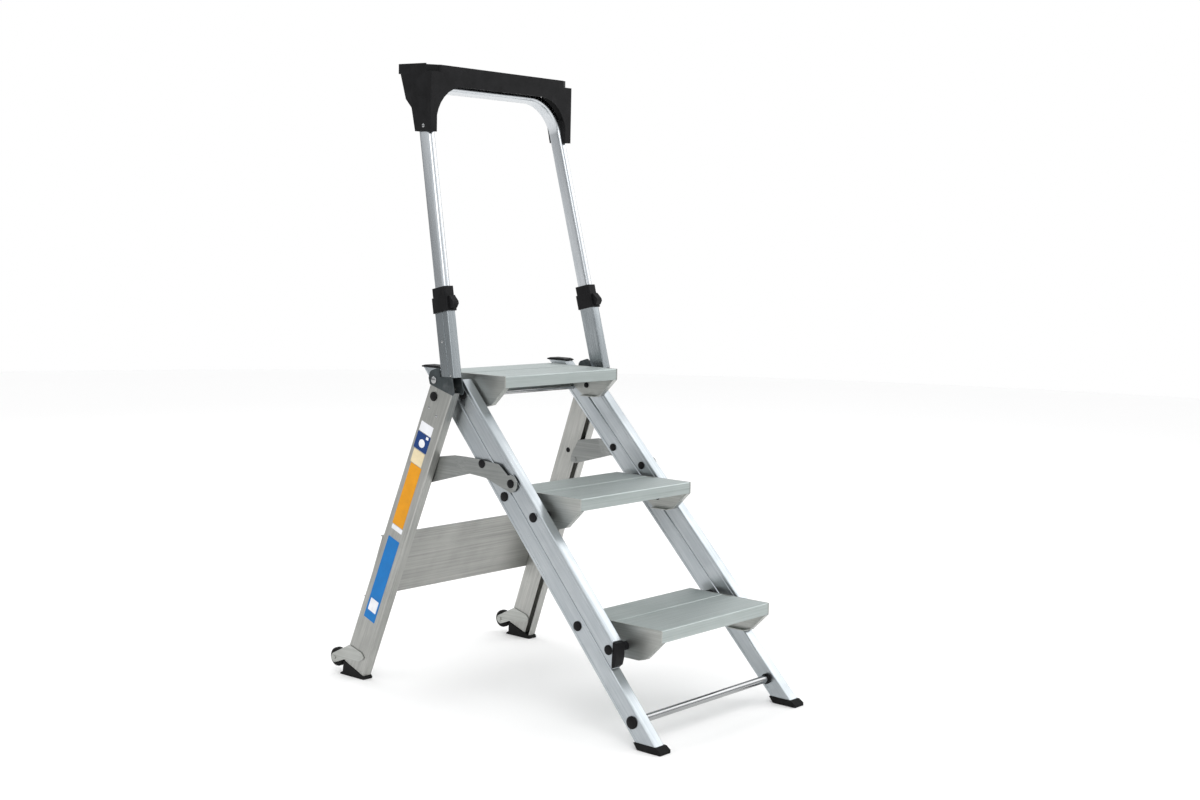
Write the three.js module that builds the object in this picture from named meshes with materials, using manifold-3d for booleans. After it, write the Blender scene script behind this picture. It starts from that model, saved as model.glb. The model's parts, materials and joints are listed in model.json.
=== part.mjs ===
// Folding three-step stool with a platform, splayed rear legs, castors and a fold-down handrail.
// Millimetres, +Z up, +Y towards the rear, origin on the floor at the middle of the footprint.
import * as THREE from 'three';
import { mergeVertices } from 'three/addons/utils/BufferGeometryUtils.js';
import Module from 'manifold-3d';

const wasm = await Module();
wasm.setup();

// ---- driving dimensions -------------------------------------------------------------------
const RISE = 243.5; // height from one tread to the next
const GOING = 225.2; // depth from one front edge to the next
const FIRST_RISE = 233; // floor to the top of the lowest tread
const STEPS = 3; // the last one is the platform
const TREAD_WIDTH = 381; // over the two end brackets
const TREAD_DEPTH = 220;
const RAIL_WIDTH = 40; // main rail, across its side face
const FRONT_RAIL_WIDTH = 39;
const RAIL_THICK = 29; // both rails, side to side
const RAIL_WALL = 2;
const RAIL_ASIDE = 19.3; // from the tread brackets to the rails, at SPLAY_HEIGHT
const RAIL_OUTER = TREAD_WIDTH / 2 + RAIL_ASIDE + RAIL_THICK; // from the middle, at SPLAY_HEIGHT
const LEG_WIDTH = 72; // rear leg, front to back
const LEG_THICK = 23;
const LEG_ASIDE = 14.2; // between a rail and its rear leg
const LEG_OUTER = RAIL_OUTER + LEG_ASIDE + LEG_THICK; // from the middle, at SPLAY_HEIGHT
const LEG_LEAN = THREE.MathUtils.degToRad(20.5);
const SPLAY = 0.042; // sideways spread of the side frames per unit of drop
const SPLAY_DROP = 354; // below the platform, to the level where the side widths hold
const HANDRAIL_LEAN = THREE.MathUtils.degToRad(12.8);
const HANDRAIL_TAPER = 0.06; // inward lean of the handrail per unit of its length
const HANDRAIL_LENGTH = 654.5; // from the handrail pivot to the middle of the top tube
const POST_WIDTH = 41;
const POST_THICK = 25;
const POST_WALL = 1.8;
const POST_LENGTH = 172;
const TUBE_WIDTH = 34;
const TUBE_THICK = 20.6;
const BEND_RADIUS = 88; // middle line of the handrail's bends
const WHEEL_RADIUS = 22;
const WHEEL_WIDTH = 19.6;
const BAR_RADIUS = 8.5;

// ---- clearances and small sizes -----------------------------------------------------------
const GAP = 0.3; // between pieces that touch
const SWING_GAP = 0.8; // beside a face that tilts as it turns
const PIN_RADIUS = 5;
const PIN_CLEARANCE = 0.35;
const CAP_RADIUS = 10.5;
const CAP_HEIGHT = 3;
const SPACER_RADIUS = 9;
const PLATE = 3; // tread brackets and hinge plates
const ROUND = 12; // facets on pins and bores

// ---- layout in the side plane (y to the rear, z up) ---------------------------------------
const PLATFORM_FRONT = -150;
const STEP_PIVOT = { y: 179, z: -10.5 }; // main pivot, from a tread's front top edge
const STEP_FRONT_PIVOT = { y: 92.5, z: -45 };
const INCLINE = Math.atan2(RISE, GOING);
const platformTop = FIRST_RISE + RISE * (STEPS - 1);
const SPLAY_HEIGHT = platformTop - SPLAY_DROP;
const treadFront = (step) => PLATFORM_FRONT - GOING * (STEPS - 1 - step);
const treadTop = (step) => FIRST_RISE + RISE * step;
const railTop = { y: PLATFORM_FRONT + STEP_PIVOT.y, z: platformTop + STEP_PIVOT.z };
const pitch = Math.hypot(RISE, GOING);
// From a main pivot to its front pivot, along the rails and ahead of them.
const pivotShift = (() => {
  const dy = STEP_FRONT_PIVOT.y - STEP_PIVOT.y;
  const dz = STEP_FRONT_PIVOT.z - STEP_PIVOT.z;
  const along = dy * Math.cos(INCLINE) + dz * Math.sin(INCLINE);
  const ahead = dz * Math.cos(INCLINE) - dy * Math.sin(INCLINE);
  return { along, ahead };
})();
const LEG_PIVOT = { ahead: -3, along: -51.8 }; // on the main rail
const LINK_PIVOT = { ahead: -3, along: -240 };
const BAR_RISE = 71.4; // lower cross bar, up the rail from the floor
const BAR_ALONG = BAR_RISE - railTop.z / Math.sin(INCLINE); // from the platform pivot
const railToSide = (ahead, along) => ({
  y: railTop.y + along * Math.cos(INCLINE) - ahead * Math.sin(INCLINE),
  z: railTop.z + along * Math.sin(INCLINE) + ahead * Math.cos(INCLINE),
});
const legPivot = railToSide(LEG_PIVOT.ahead, LEG_PIVOT.along);
const linkPivot = railToSide(LINK_PIVOT.ahead, LINK_PIVOT.along);
const linkFront = railToSide(
  LINK_PIVOT.ahead + pivotShift.ahead, LINK_PIVOT.along + pivotShift.along);
const legToSide = (ahead, up) => ({
  y: legPivot.y - up * Math.sin(LEG_LEAN) - ahead * Math.cos(LEG_LEAN),
  z: legPivot.z + up * Math.cos(LEG_LEAN) - ahead * Math.sin(LEG_LEAN),
});
const LEG_REAR = -22; // rear face of the leg, from the line through its pivot
const legFront = LEG_REAR + LEG_WIDTH;
const SLOT_WIDTH = 12.5; // guide slot along the inner front of the rear leg
const SLOT_LIP = 2.5;
const SLOT_DEPTH = 20;
const slotMiddle = legFront - SLOT_LIP - SLOT_WIDTH / 2;
const SLIDER_RADIUS = 2.4;
const SLIDER_OFFSET = -3.4; // start of the slider's small wander across the slot
const SLIDER_DROP = 186; // slider pin below the leg pivot, along the leg
const slider = legToSide(slotMiddle + SLIDER_OFFSET, -SLIDER_DROP);
const HANDRAIL_PIVOT = { ahead: -10, up: 35.3 }; // on the rear leg
const handrailPivot = legToSide(HANDRAIL_PIVOT.ahead, HANDRAIL_PIVOT.up);
const POST_REAR = 19.5; // rear face of the post ahead of the handrail pivot
const postMiddle = POST_REAR + POST_WIDTH / 2;
const WHEEL_UP = 35; // wheel centre above the floor
const WHEEL_BEHIND = 9; // between the wheel and the leg
const wheelBehind = LEG_REAR - WHEEL_RADIUS - WHEEL_BEHIND;
const wheelDrop = (legPivot.z - WHEEL_UP - wheelBehind * Math.sin(LEG_LEAN)) / Math.cos(LEG_LEAN);
const wheelCentre = legToSide(wheelBehind, -wheelDrop);
const FOOT_HEIGHT = 14;
const footFront = railTop.y - railTop.z / Math.tan(INCLINE) - RAIL_WIDTH / 2 / Math.sin(INCLINE);
const middleY = (footFront - 2 + wheelCentre.y + WHEEL_RADIUS) / 2;
const spread = (x, z) => x + SPLAY * (SPLAY_HEIGHT - z);
const railInner = RAIL_OUTER - RAIL_THICK;
const legInner = LEG_OUTER - LEG_THICK;
const bracketOuter = TREAD_WIDTH / 2;
const bracketInner = bracketOuter - PLATE;

// ---- finishes -----------------------------------------------------------------------------
const finish = (color, roughness, metalness) =>
  new THREE.MeshStandardMaterial({ color, roughness, metalness });
const FINISH = {
  rail: () => finish(0xb9bec2, 0.35, 0.9),
  leg: () => finish(0xa9acab, 0.42, 0.9),
  tread: () => finish(0xa4b0ae, 0.5, 0.85),
  bracket: () => finish(0x8f9490, 0.45, 0.9),
  bright: () => finish(0xd5d8da, 0.18, 1),
  link: () => finish(0xa0a3a2, 0.4, 0.9),
  hinge: () => finish(0x474d50, 0.55, 0.2),
  black: () => finish(0x141516, 0.5, 0),
};

// ---- solids -------------------------------------------------------------------------------
function toSolid(geometry) {
  const bare = geometry.clone();
  bare.deleteAttribute('normal');
  bare.deleteAttribute('uv');
  const merged = mergeVertices(bare, 1e-4);
  return new wasm.Manifold(new wasm.Mesh({
    numProp: 3,
    vertProperties: new Float32Array(merged.attributes.position.array),
    triVerts: new Uint32Array(merged.index.array),
  }));
}

function toGeometry(solid) {
  const mesh = solid.getMesh();
  const geometry = new THREE.BufferGeometry();
  geometry.setAttribute('position', new THREE.BufferAttribute(mesh.vertProperties, 3));
  geometry.setIndex(new THREE.BufferAttribute(mesh.triVerts, 1));
  geometry.computeVertexNormals();
  return geometry;
}

const join = (solids) => solids.reduce((whole, next) => whole.add(next));
const cut = (solid, tools) => tools.reduce((rest, tool) => rest.subtract(tool), solid);

function outlineShape(points) {
  return new THREE.Shape(points.map(([a, b]) => new THREE.Vector2(a, b)));
}

// A plate whose outline lies in the side plane (y, z), between two x values.
function sidePlate(points, x0, x1) {
  const geometry = new THREE.ExtrudeGeometry(outlineShape(points), {
    depth: x1 - x0, bevelEnabled: false,
  });
  const sideways = new THREE.Matrix4().makeBasis(
    new THREE.Vector3(0, 1, 0), new THREE.Vector3(0, 0, 1), new THREE.Vector3(1, 0, 0));
  geometry.applyMatrix4(sideways).translate(x0, 0, 0);
  return toSolid(geometry);
}

// A straight profile whose section lies in (x, y), between two z values.
function profileBar(points, z0, z1) {
  const geometry = new THREE.ExtrudeGeometry(outlineShape(points), {
    depth: z1 - z0, bevelEnabled: false,
  });
  geometry.translate(0, 0, z0);
  return toSolid(geometry);
}

// A round piece on an axis along x through (y, z); profile is [radius, x] from end to end.
function turnedPiece(profile, y, z, facets = ROUND) {
  const geometry = new THREE.LatheGeometry(
    profile.map(([r, x]) => new THREE.Vector2(r, x)), facets);
  geometry.rotateZ(-Math.PI / 2).translate(0, y, z);
  return toSolid(geometry);
}

const disc = (r, x0, x1, y, z, facets = ROUND) =>
  turnedPiece([[0, x0], [r, x0], [r, x1], [0, x1]], y, z, facets);

// A rectangle with rounded corners, as [x, y] points, anticlockwise.
function roundedBox(x0, x1, y0, y1, r, perCorner = 3) {
  const corners = [[x1 - r, y1 - r, 0], [x0 + r, y1 - r, 1], [x0 + r, y0 + r, 2], [x1 - r, y0 + r, 3]];
  return corners.flatMap(([x, y, quarter]) =>
    Array.from({ length: perCorner + 1 }, (_, i) => {
      const angle = (quarter + i / perCorner) * Math.PI / 2;
      return [x + r * Math.cos(angle), y + r * Math.sin(angle)];
    }));
}

const arc = (cy, cz, r, from, to, count) =>
  Array.from({ length: count + 1 }, (_, i) => {
    const angle = THREE.MathUtils.degToRad(from + (to - from) * i / count);
    return [cy + r * Math.cos(angle), cz + r * Math.sin(angle)];
  });

function named(name, solid, material) {
  const mesh = new THREE.Mesh(toGeometry(solid), material());
  mesh.name = name;
  return mesh;
}

// ---- frames -------------------------------------------------------------------------------
const stool = new THREE.Group();
stool.position.y = -middleY;

const SIDES = [['left', -1], ['right', 1]];

// One side of the stool; its pieces are drawn for the right and mirrored for the left.
function sideGroup(side) {
  const group = new THREE.Group();
  group.scale.x = side;
  stool.add(group);
  return group;
}

// Leans whatever it holds outwards towards the floor.
function splayGroup(parent, amount, height) {
  const group = new THREE.Group();
  group.matrixAutoUpdate = false;
  group.matrix.set(1, 0, -amount, amount * height, 0, 1, 0, 0, 0, 0, 1, 0, 0, 0, 0, 1);
  parent.add(group);
  return group;
}

function frameGroup(parent, origin, lean) {
  const group = new THREE.Group();
  group.position.set(0, origin.y, origin.z);
  group.rotation.x = lean;
  parent.add(group);
  return group;
}

// ---- main and front rails -----------------------------------------------------------------
// In a rail's frame z runs up the rail from the platform pivot and y runs to its rear.
const GROOVE_DEPTH = 0.8;
const GROOVE_WIDTH = 3;

function railSection(y0, y1, wall) {
  return roundedBox(railInner + wall, RAIL_OUTER - wall, y0 + wall, y1 - wall, wall ? 1.5 : 3);
}

function railGrooves(y, z0, z1) {
  const band = (x0, x1) => profileBar(
    [[x0, y], [x1, y], [x1, y + GROOVE_WIDTH], [x0, y + GROOVE_WIDTH]], z0, z1);
  return [band(RAIL_OUTER - GROOVE_DEPTH, RAIL_OUTER + 1), band(railInner - 1, railInner + GROOVE_DEPTH)];
}

const bore = (r, y, z) => disc(r + PIN_CLEARANCE, railInner - 5, RAIL_OUTER + 5, y, z);
const MAIN_TOP = 18.5; // rail top above the platform pivot, cut level
const CUT_TOOL = 400;

// A tool that removes everything above or below a level in the stool's own frame.
function levelCut(height, keepBelow) {
  const y0 = -CUT_TOOL;
  const z = (y) => (height - railTop.z + y * Math.cos(INCLINE)) / Math.sin(INCLINE);
  const beyond = keepBelow ? CUT_TOOL : -CUT_TOOL;
  const outline = [[y0, z(y0)], [CUT_TOOL, z(CUT_TOOL)], [CUT_TOOL, z(CUT_TOOL) + beyond * 3], [y0, z(y0) + beyond * 3]];
  return sidePlate(keepBelow ? outline : outline.reverse(), railInner - 20, RAIL_OUTER + 20);
}

const stepAlong = (step) => -pitch * (STEPS - 1 - step);

function mainRail() {
  const half = RAIL_WIDTH / 2;
  const bottom = -railTop.z / Math.sin(INCLINE) - RAIL_WIDTH;
  const top = MAIN_TOP + 3 * half;
  const body = profileBar(railSection(-half, half, 0), bottom, top);
  const hollow = profileBar(railSection(-half, half, RAIL_WALL), bottom - 1, top + 1);
  const bores = [
    ...[0, 1, 2].map((step) => bore(PIN_RADIUS, 0, stepAlong(step))),
    bore(PIN_RADIUS, -LINK_PIVOT.ahead, LINK_PIVOT.along),
    bore(BAR_RADIUS, -LEG_PIVOT.ahead, LEG_PIVOT.along),
    bore(BAR_RADIUS, 0, BAR_ALONG),
  ];
  return cut(body, [
    hollow, ...bores, ...railGrooves(half - 10, bottom - 1, top + 1),
    levelCut(railTop.z + MAIN_TOP, true), levelCut(FOOT_HEIGHT + GAP, false),
  ]);
}

const frontRear = -pivotShift.ahead + FRONT_RAIL_WIDTH / 2;
const frontFront = frontRear - FRONT_RAIL_WIDTH;
const frontAlong = (step) => stepAlong(step) + pivotShift.along;
const FRONT_TOP = 28; // front rail above its platform pivot
const FRONT_END_Y = -9.5; // vertical end face ahead of the lowest front pivot

// The front rail's lower end face is upright, this far in front of its last pivot.
const frontEnd = { y: treadFront(0) + STEP_FRONT_PIVOT.y + FRONT_END_Y };

function frontRail() {
  const bottom = frontAlong(0) - 90;
  const top = frontAlong(STEPS - 1) + FRONT_TOP;
  const body = profileBar(railSection(frontFront, frontRear, 0), bottom, top);
  const hollow = profileBar(railSection(frontFront, frontRear, RAIL_WALL), bottom - 1, top + 1);
  const endLine = (y) => (frontEnd.y - railTop.y - y * Math.sin(INCLINE)) / Math.cos(INCLINE);
  const endCut = sidePlate([
    [frontFront - 20, endLine(frontFront - 20) - 200], [frontRear + 20, endLine(frontRear + 20) - 200],
    [frontRear + 20, endLine(frontRear + 20)], [frontFront - 20, endLine(frontFront - 20)],
  ], railInner - 5, RAIL_OUTER + 5);
  const bores = [
    ...[0, 1, 2].map((step) => bore(PIN_RADIUS, -pivotShift.ahead, frontAlong(step))),
    bore(PIN_RADIUS, -LINK_PIVOT.ahead - pivotShift.ahead, LINK_PIVOT.along + pivotShift.along),
  ];
  const grooves = railGrooves(frontFront + 6, bottom - 1, top + 1);
  return cut(body, [hollow, endCut, ...bores, ...grooves]);
}

// Plastic plug on the upright lower end of the front rail.
const PLUG_DEPTH = 10;

function frontRailPlug() {
  const zAt = (ahead) => {
    const along = (frontEnd.y - railTop.y + ahead * Math.sin(INCLINE)) / Math.cos(INCLINE);
    return railToSide(ahead, along).z;
  };
  const low = zAt(-frontRear + 1);
  const high = zAt(-frontFront - 1);
  const face = frontEnd.y - GAP;
  return sidePlate([
    [face, low], [face, high], [face - 0.8 * PLUG_DEPTH, high - 1], [face - PLUG_DEPTH, high - 14],
    [face - PLUG_DEPTH, low + 22], [face - 0.7 * PLUG_DEPTH, low + 6],
  ], railInner + 0.5, RAIL_OUTER - 0.5);
}

function railTopCap() {
  const base = railTop.z + MAIN_TOP + GAP;
  const half = RAIL_WIDTH / 2 / Math.sin(INCLINE);
  const middle = railTop.y + MAIN_TOP / Math.tan(INCLINE);
  return sidePlate([
    [middle - half - 2, base], [middle + half + 4, base], [middle + half + 4, base + 3],
    [middle + half - 6, base + 5.5], [middle - half + 8, base + 5.5], [middle - half - 2, base + 3],
  ], railInner - 1.5, RAIL_OUTER + 1.5);
}

function frontFoot() {
  const rear = footFront + RAIL_WIDTH / Math.sin(INCLINE);
  const lean = FOOT_HEIGHT / Math.tan(INCLINE);
  return sidePlate([
    [footFront - 2, 0], [rear + 4, 0], [rear + 2 + lean, FOOT_HEIGHT], [footFront + lean - 3, FOOT_HEIGHT],
    [footFront - 2, 6],
  ], railInner - 3, RAIL_OUTER + 3);
}

// ---- cross bars, each one turned piece with its caps ----------------------------------------
function crossBar(at, ends) {
  return turnedPiece([[0, -ends.at(-1)[1]], ...ends.slice().reverse().map(([r, x]) => [r, -x]),
    ...ends, [0, ends.at(-1)[1]]], at.y, at.z, 24);
}

function lowerBar() {
  const at = railToSide(0, BAR_ALONG);
  const outer = spread(RAIL_OUTER, at.z) + SWING_GAP;
  const inner = spread(railInner, at.z) - SWING_GAP;
  return crossBar(at, [
    [BAR_RADIUS, inner - 6], [BAR_RADIUS + 3, inner - 6], [BAR_RADIUS + 3, inner], [BAR_RADIUS, inner],
    [BAR_RADIUS, outer], [13.5, outer], [13.5, outer + 2], [9, outer + 6],
  ]);
}

// The upper bar joins the two rear leg pivots under the platform.
function upperBar() {
  const outer = spread(RAIL_OUTER, legPivot.z) + SWING_GAP;
  const legIn = spread(legInner, legPivot.z) - SWING_GAP;
  const legOut = spread(LEG_OUTER, legPivot.z) + SWING_GAP;
  return crossBar(legPivot, [
    [BAR_RADIUS, outer], [12, outer], [12, legIn], [BAR_RADIUS, legIn],
    [BAR_RADIUS, legOut], [CAP_RADIUS, legOut], [CAP_RADIUS, legOut + 1.5], [7, legOut + 3.5],
  ]);
}

// ---- treads ---------------------------------------------------------------------------------
// Drawn from the front top edge: y to the rear, z up.
const TREAD_PLATE = 3;
const LIP_FRONT = 26;
const LIP_REAR = 15;
const BAND = { from: 98, to: 126, deep: 1.2 };
const RIBS = [66, 140];
const RIB_DEEP = 9;

function treadBoard() {
  const inner = TREAD_PLATE;
  const rear = TREAD_DEPTH;
  const ribs = RIBS.slice().reverse().flatMap((y) =>
    [[y + 2.5, -inner], [y + 2.5, -RIB_DEEP], [y, -RIB_DEEP], [y, -inner]]);
  return sidePlate([
    [0, -2], [2, 0], [BAND.from, 0], [BAND.from + 1, -BAND.deep], [BAND.to - 1, -BAND.deep], [BAND.to, 0],
    [rear - 2, 0], [rear, -2], [rear, -LIP_REAR], [rear - inner, -LIP_REAR], [rear - inner, -inner],
    ...ribs, [inner, -inner], [inner, -LIP_FRONT + 3], [8, -LIP_FRONT + 3], [8, -LIP_FRONT], [0, -LIP_FRONT],
  ].reverse(), -bracketInner + GAP, bracketInner - GAP);
}

const EAR_RADIUS = 41; // rounded rear end of a bracket, about the main pivot
const BRACKET_LOW = -71;
const BRACKET_EDGE = { slope: THREE.MathUtils.degToRad(37.4), clear: 1.4 };

// The bracket's straight rear edge passes ahead of the upper cross bar and runs into the ear.
function bracketEdge() {
  const away = BAR_RADIUS + BRACKET_EDGE.clear;
  const [dy, dz] = [Math.cos(BRACKET_EDGE.slope), Math.sin(BRACKET_EDGE.slope)];
  const fromBar = {
    y: legPivot.y - railTop.y - away * dz,
    z: legPivot.z - railTop.z + away * dy,
  };
  const nearest = -(fromBar.y * dy + fromBar.z * dz);
  const aside = fromBar.z * dy - fromBar.y * dz;
  const meet = nearest - Math.sqrt(EAR_RADIUS ** 2 - aside ** 2);
  const angle = Math.atan2(fromBar.z + meet * dz, fromBar.y + meet * dy);
  const drop = BRACKET_LOW - STEP_PIVOT.z - fromBar.z;
  return { low: STEP_PIVOT.y + fromBar.y + drop * dy / dz, angle: 360 + THREE.MathUtils.radToDeg(angle) };
}

function treadBracket() {
  const edge = bracketEdge();
  const lower = [[0, -LIP_FRONT], [40, -66], [58, BRACKET_LOW], [edge.low, BRACKET_LOW]];
  const ear = arc(STEP_PIVOT.y, STEP_PIVOT.z, EAR_RADIUS, edge.angle, 360, 8);
  const plate = sidePlate(
    [[0, 0], ...lower, ...ear, [TREAD_DEPTH, 0]], bracketInner, bracketOuter);
  const flange = sidePlate([
    ...lower, [edge.low, BRACKET_LOW + 2], [58.6, BRACKET_LOW + 2], [41, -64], [2, -LIP_FRONT + 1 - GAP],
  ], bracketInner - 11, bracketInner + 1);
  const flangeTrim = sidePlate([[-1, -LIP_FRONT - GAP], [12, -LIP_FRONT - GAP], [12, 5], [-1, 5]],
    bracketInner - 12, bracketInner);
  const holes = [STEP_PIVOT, STEP_FRONT_PIVOT].map((at) =>
    disc(PIN_RADIUS + GAP, bracketInner - 12, bracketOuter + 5, at.y, at.z));
  return cut(join([plate, flange.subtract(flangeTrim)]), holes);
}

// A pivot pin from inside the bracket, through its spacer and the rail, to the outer cap.
function treadPin(at, step) {
  const z = treadTop(step) + at.z;
  const inner = spread(railInner, z) - SWING_GAP;
  const outer = spread(RAIL_OUTER, z) + SWING_GAP;
  return turnedPiece([
    [0, bracketInner - GAP - 2.2], [6.5, bracketInner - GAP - 2.2], [6.5, bracketInner - GAP],
    [PIN_RADIUS, bracketInner - GAP], [PIN_RADIUS, bracketOuter + GAP], [SPACER_RADIUS, bracketOuter + GAP],
    [SPACER_RADIUS, inner], [PIN_RADIUS, inner], [PIN_RADIUS, outer], [CAP_RADIUS, outer],
    [CAP_RADIUS, outer + 1], [7, outer + CAP_HEIGHT], [0, outer + CAP_HEIGHT],
  ], at.y, at.z);
}

// ---- link between the rails and the rear legs ------------------------------------------------
const LINK_NEAR = RAIL_OUTER - 1.6; // inner face beside the rails
const LINK_FAR = LINK_NEAR + 5.6; // inner face beside the folded front rail
const LINK_THICK = 2.4;
const linkReach = Math.hypot(slider.y - linkPivot.y, slider.z - linkPivot.z);
const LINK_BEND = { from: linkReach - 119, to: linkReach - 89 }; // from the link pivot
const LINK_ARM = 19; // half width

function linkOutline() {
  const p = linkPivot;
  const tip = slider;
  return [
    [p.y + 37, p.z - 26], [tip.y - 2, tip.z - 9], [tip.y + 11, tip.z - 6], [tip.y + 11, tip.z + 9],
    [tip.y - 12, tip.z + 50], [p.y + 80, p.z + 11], [p.y + 27, p.z + 10], [p.y - 50, p.z + 4],
    ...arc(linkFront.y, linkFront.z, LINK_ARM, 62, 290, 10), [p.y - 12, p.z - 30],
  ].reverse();
}

function linkPlate() {
  const direction = Math.atan2(slider.z - linkPivot.z, slider.y - linkPivot.y);
  const silhouette = sidePlate(linkOutline(), LINK_NEAR - 5, LINK_FAR + 10);
  const far = 300;
  const strip = new THREE.ExtrudeGeometry(outlineShape([
    [-far, LINK_NEAR], [LINK_BEND.from, LINK_NEAR], [LINK_BEND.to, LINK_FAR], [far, LINK_FAR],
    [far, LINK_FAR + LINK_THICK], [LINK_BEND.to, LINK_FAR + LINK_THICK],
    [LINK_BEND.from, LINK_NEAR + LINK_THICK], [-far, LINK_NEAR + LINK_THICK],
  ]), { depth: 2 * far, bevelEnabled: false });
  const alongLink = new THREE.Vector3(0, Math.cos(direction), Math.sin(direction));
  const outward = new THREE.Vector3(1, 0, 0);
  const across = new THREE.Vector3().crossVectors(alongLink, outward);
  strip.translate(0, 0, -far);
  strip.applyMatrix4(new THREE.Matrix4().makeBasis(alongLink, outward, across));
  strip.translate(0, linkPivot.y, linkPivot.z);
  const body = toSolid(strip).intersect(silhouette);
  const pinHoles = [linkPivot, linkFront].map((at) =>
    disc(PIN_RADIUS + GAP, LINK_NEAR - 5, LINK_FAR + 10, at.y, at.z));
  const sliderPin = disc(SLIDER_RADIUS, LINK_FAR + 1, LINK_FAR + 16, slider.y, slider.z);
  const head = disc(7, LINK_FAR - 2, LINK_FAR + 1, slider.y, slider.z);
  return join([cut(body, pinHoles), sliderPin, head]);
}

function linkPin(at) {
  const inner = spread(railInner, at.z) - SWING_GAP;
  const outer = spread(RAIL_OUTER, at.z) + SWING_GAP;
  const face = LINK_NEAR + LINK_THICK + GAP;
  return turnedPiece([
    [0, inner - 3], [7, inner - 3], [9, inner - 1.5], [9, inner], [PIN_RADIUS, inner],
    [PIN_RADIUS, outer], [SPACER_RADIUS, outer], [SPACER_RADIUS, LINK_NEAR - GAP],
    [PIN_RADIUS, LINK_NEAR - GAP], [PIN_RADIUS, face], [9.5, face], [9.5, face + 1], [6.5, face + 2.4],
    [0, face + 2.4],
  ], at.y, at.z);
}

// ---- rear legs --------------------------------------------------------------------------------
// In the leg's frame z runs up from the leg pivot and y runs to its rear.
const LEG_WALL = 2;
const LEG_TOP_FALL = 0.227; // slope of the leg's top cut
const LEG_TOP = 39; // height of the cut where the post's rear corner closes on it
const POST_END_GAP = 0.6;
const LEG_FOOT_FRONT = 8; // floor to the front corner of the leg's lower end

const legBottom = -(legPivot.z - LEG_FOOT_FRONT - legFront * Math.sin(LEG_LEAN)) / Math.cos(LEG_LEAN);

function legSection() {
  const boxFront = -(slotMiddle - SLOT_WIDTH / 2);
  const slotFront = boxFront - SLOT_WIDTH;
  return [
    [legInner + 1, -LEG_REAR], [legInner, -LEG_REAR - 2], [legInner, boxFront],
    [legInner + SLOT_DEPTH, boxFront], [legInner + SLOT_DEPTH, slotFront], [legInner, slotFront],
    [legInner, -legFront], [LEG_OUTER - 2, -legFront], [LEG_OUTER, -legFront + 2],
    [LEG_OUTER, -LEG_REAR - 3], [LEG_OUTER - 2, -LEG_REAR],
  ].reverse();
}

function rearLeg() {
  const top = 60;
  const boxFront = -(slotMiddle - SLOT_WIDTH / 2);
  const body = profileBar(legSection().reverse(), legBottom, top);
  const hollow = profileBar(roundedBox(legInner + LEG_WALL, LEG_OUTER - LEG_WALL,
    boxFront + LEG_WALL, -LEG_REAR - LEG_WALL, 1.5), legBottom - 1, top + 1);
  const cutAt = (ahead) => LEG_TOP - POST_END_GAP - LEG_TOP_FALL * (ahead - HANDRAIL_PIVOT.ahead - POST_REAR);
  const topCut = sidePlate([
    [-legFront - 5, cutAt(legFront + 5)], [-LEG_REAR + 5, cutAt(LEG_REAR - 5)],
    [-LEG_REAR + 5, top + 20], [-legFront - 5, top + 20],
  ], legInner - 5, LEG_OUTER + 5);
  const across = (r, y, z) => disc(r, legInner - 5, LEG_OUTER + 5, y, z);
  return cut(body, [
    hollow, topCut, across(BAR_RADIUS + PIN_CLEARANCE, 0, 0),
    across(PIN_RADIUS + PIN_CLEARANCE, -HANDRAIL_PIVOT.ahead, HANDRAIL_PIVOT.up),
  ]);
}

// Rubber boot under the square-cut lower end of the leg.
function rearFoot() {
  const front = legToSide(legFront, legBottom - GAP);
  const rear = legToSide(LEG_REAR, legBottom - GAP);
  return sidePlate([
    [front.y - 3, 0], [rear.y + 11, 0], [rear.y + 11, 3], [rear.y + 3, 8], [rear.y + 1, rear.z],
    [front.y, front.z], [front.y - 3, 4],
  ], legInner - 3, LEG_OUTER + 2);
}

// Panel that ties the two rear legs together behind them.
const PANEL = { top: 339, bottom: 189, thick: 2.5, flange: 5 };

function bracePanel() {
  const face = LEG_REAR - GAP;
  const upFrom = (z) => (z - legPivot.z + face * Math.sin(LEG_LEAN)) / Math.cos(LEG_LEAN);
  const [low, high] = [upFrom(PANEL.bottom), upFrom(PANEL.top)];
  const back = face - PANEL.thick;
  const at = (ahead, up) => { const p = legToSide(ahead, up); return [p.y, p.z]; };
  const half = spread(LEG_OUTER, PANEL.top) - 1;
  return sidePlate([
    at(face, low), at(face, high), at(back - PANEL.flange, high), at(back - PANEL.flange, high - 2.5),
    at(back, high - 2.5), at(back, low + 2.5), at(back - PANEL.flange, low + 2.5),
    at(back - PANEL.flange, low),
  ].reverse(), -half, half);
}

// ---- castors ------------------------------------------------------------------------------------
const EAR_PLATE = 2;
const AXLE_RADIUS = 4;

function wheelBracket() {
  const c = wheelCentre;
  const onLeg = (ahead, up) => {
    const p = legToSide(ahead, legBottom + up);
    return [p.y, p.z];
  };
  const outline = [
    onLeg(legFront - 14, 42), onLeg(legFront - 16, 34), onLeg(legFront - 23, 27), onLeg(LEG_REAR - 1, 2),
    ...arc(c.y, c.z, 11.5, -120, 75, 8), onLeg(LEG_REAR + 3, 44), onLeg(legFront - 26, 48),
  ];
  const ears = [
    sidePlate(outline, legInner - GAP - EAR_PLATE, legInner - GAP),
    sidePlate(outline, LEG_OUTER + GAP, LEG_OUTER + GAP + EAR_PLATE),
  ];
  const axle = disc(AXLE_RADIUS, legInner - GAP - 4, LEG_OUTER + GAP + 4, c.y, c.z);
  return join([...ears, axle]);
}

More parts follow.
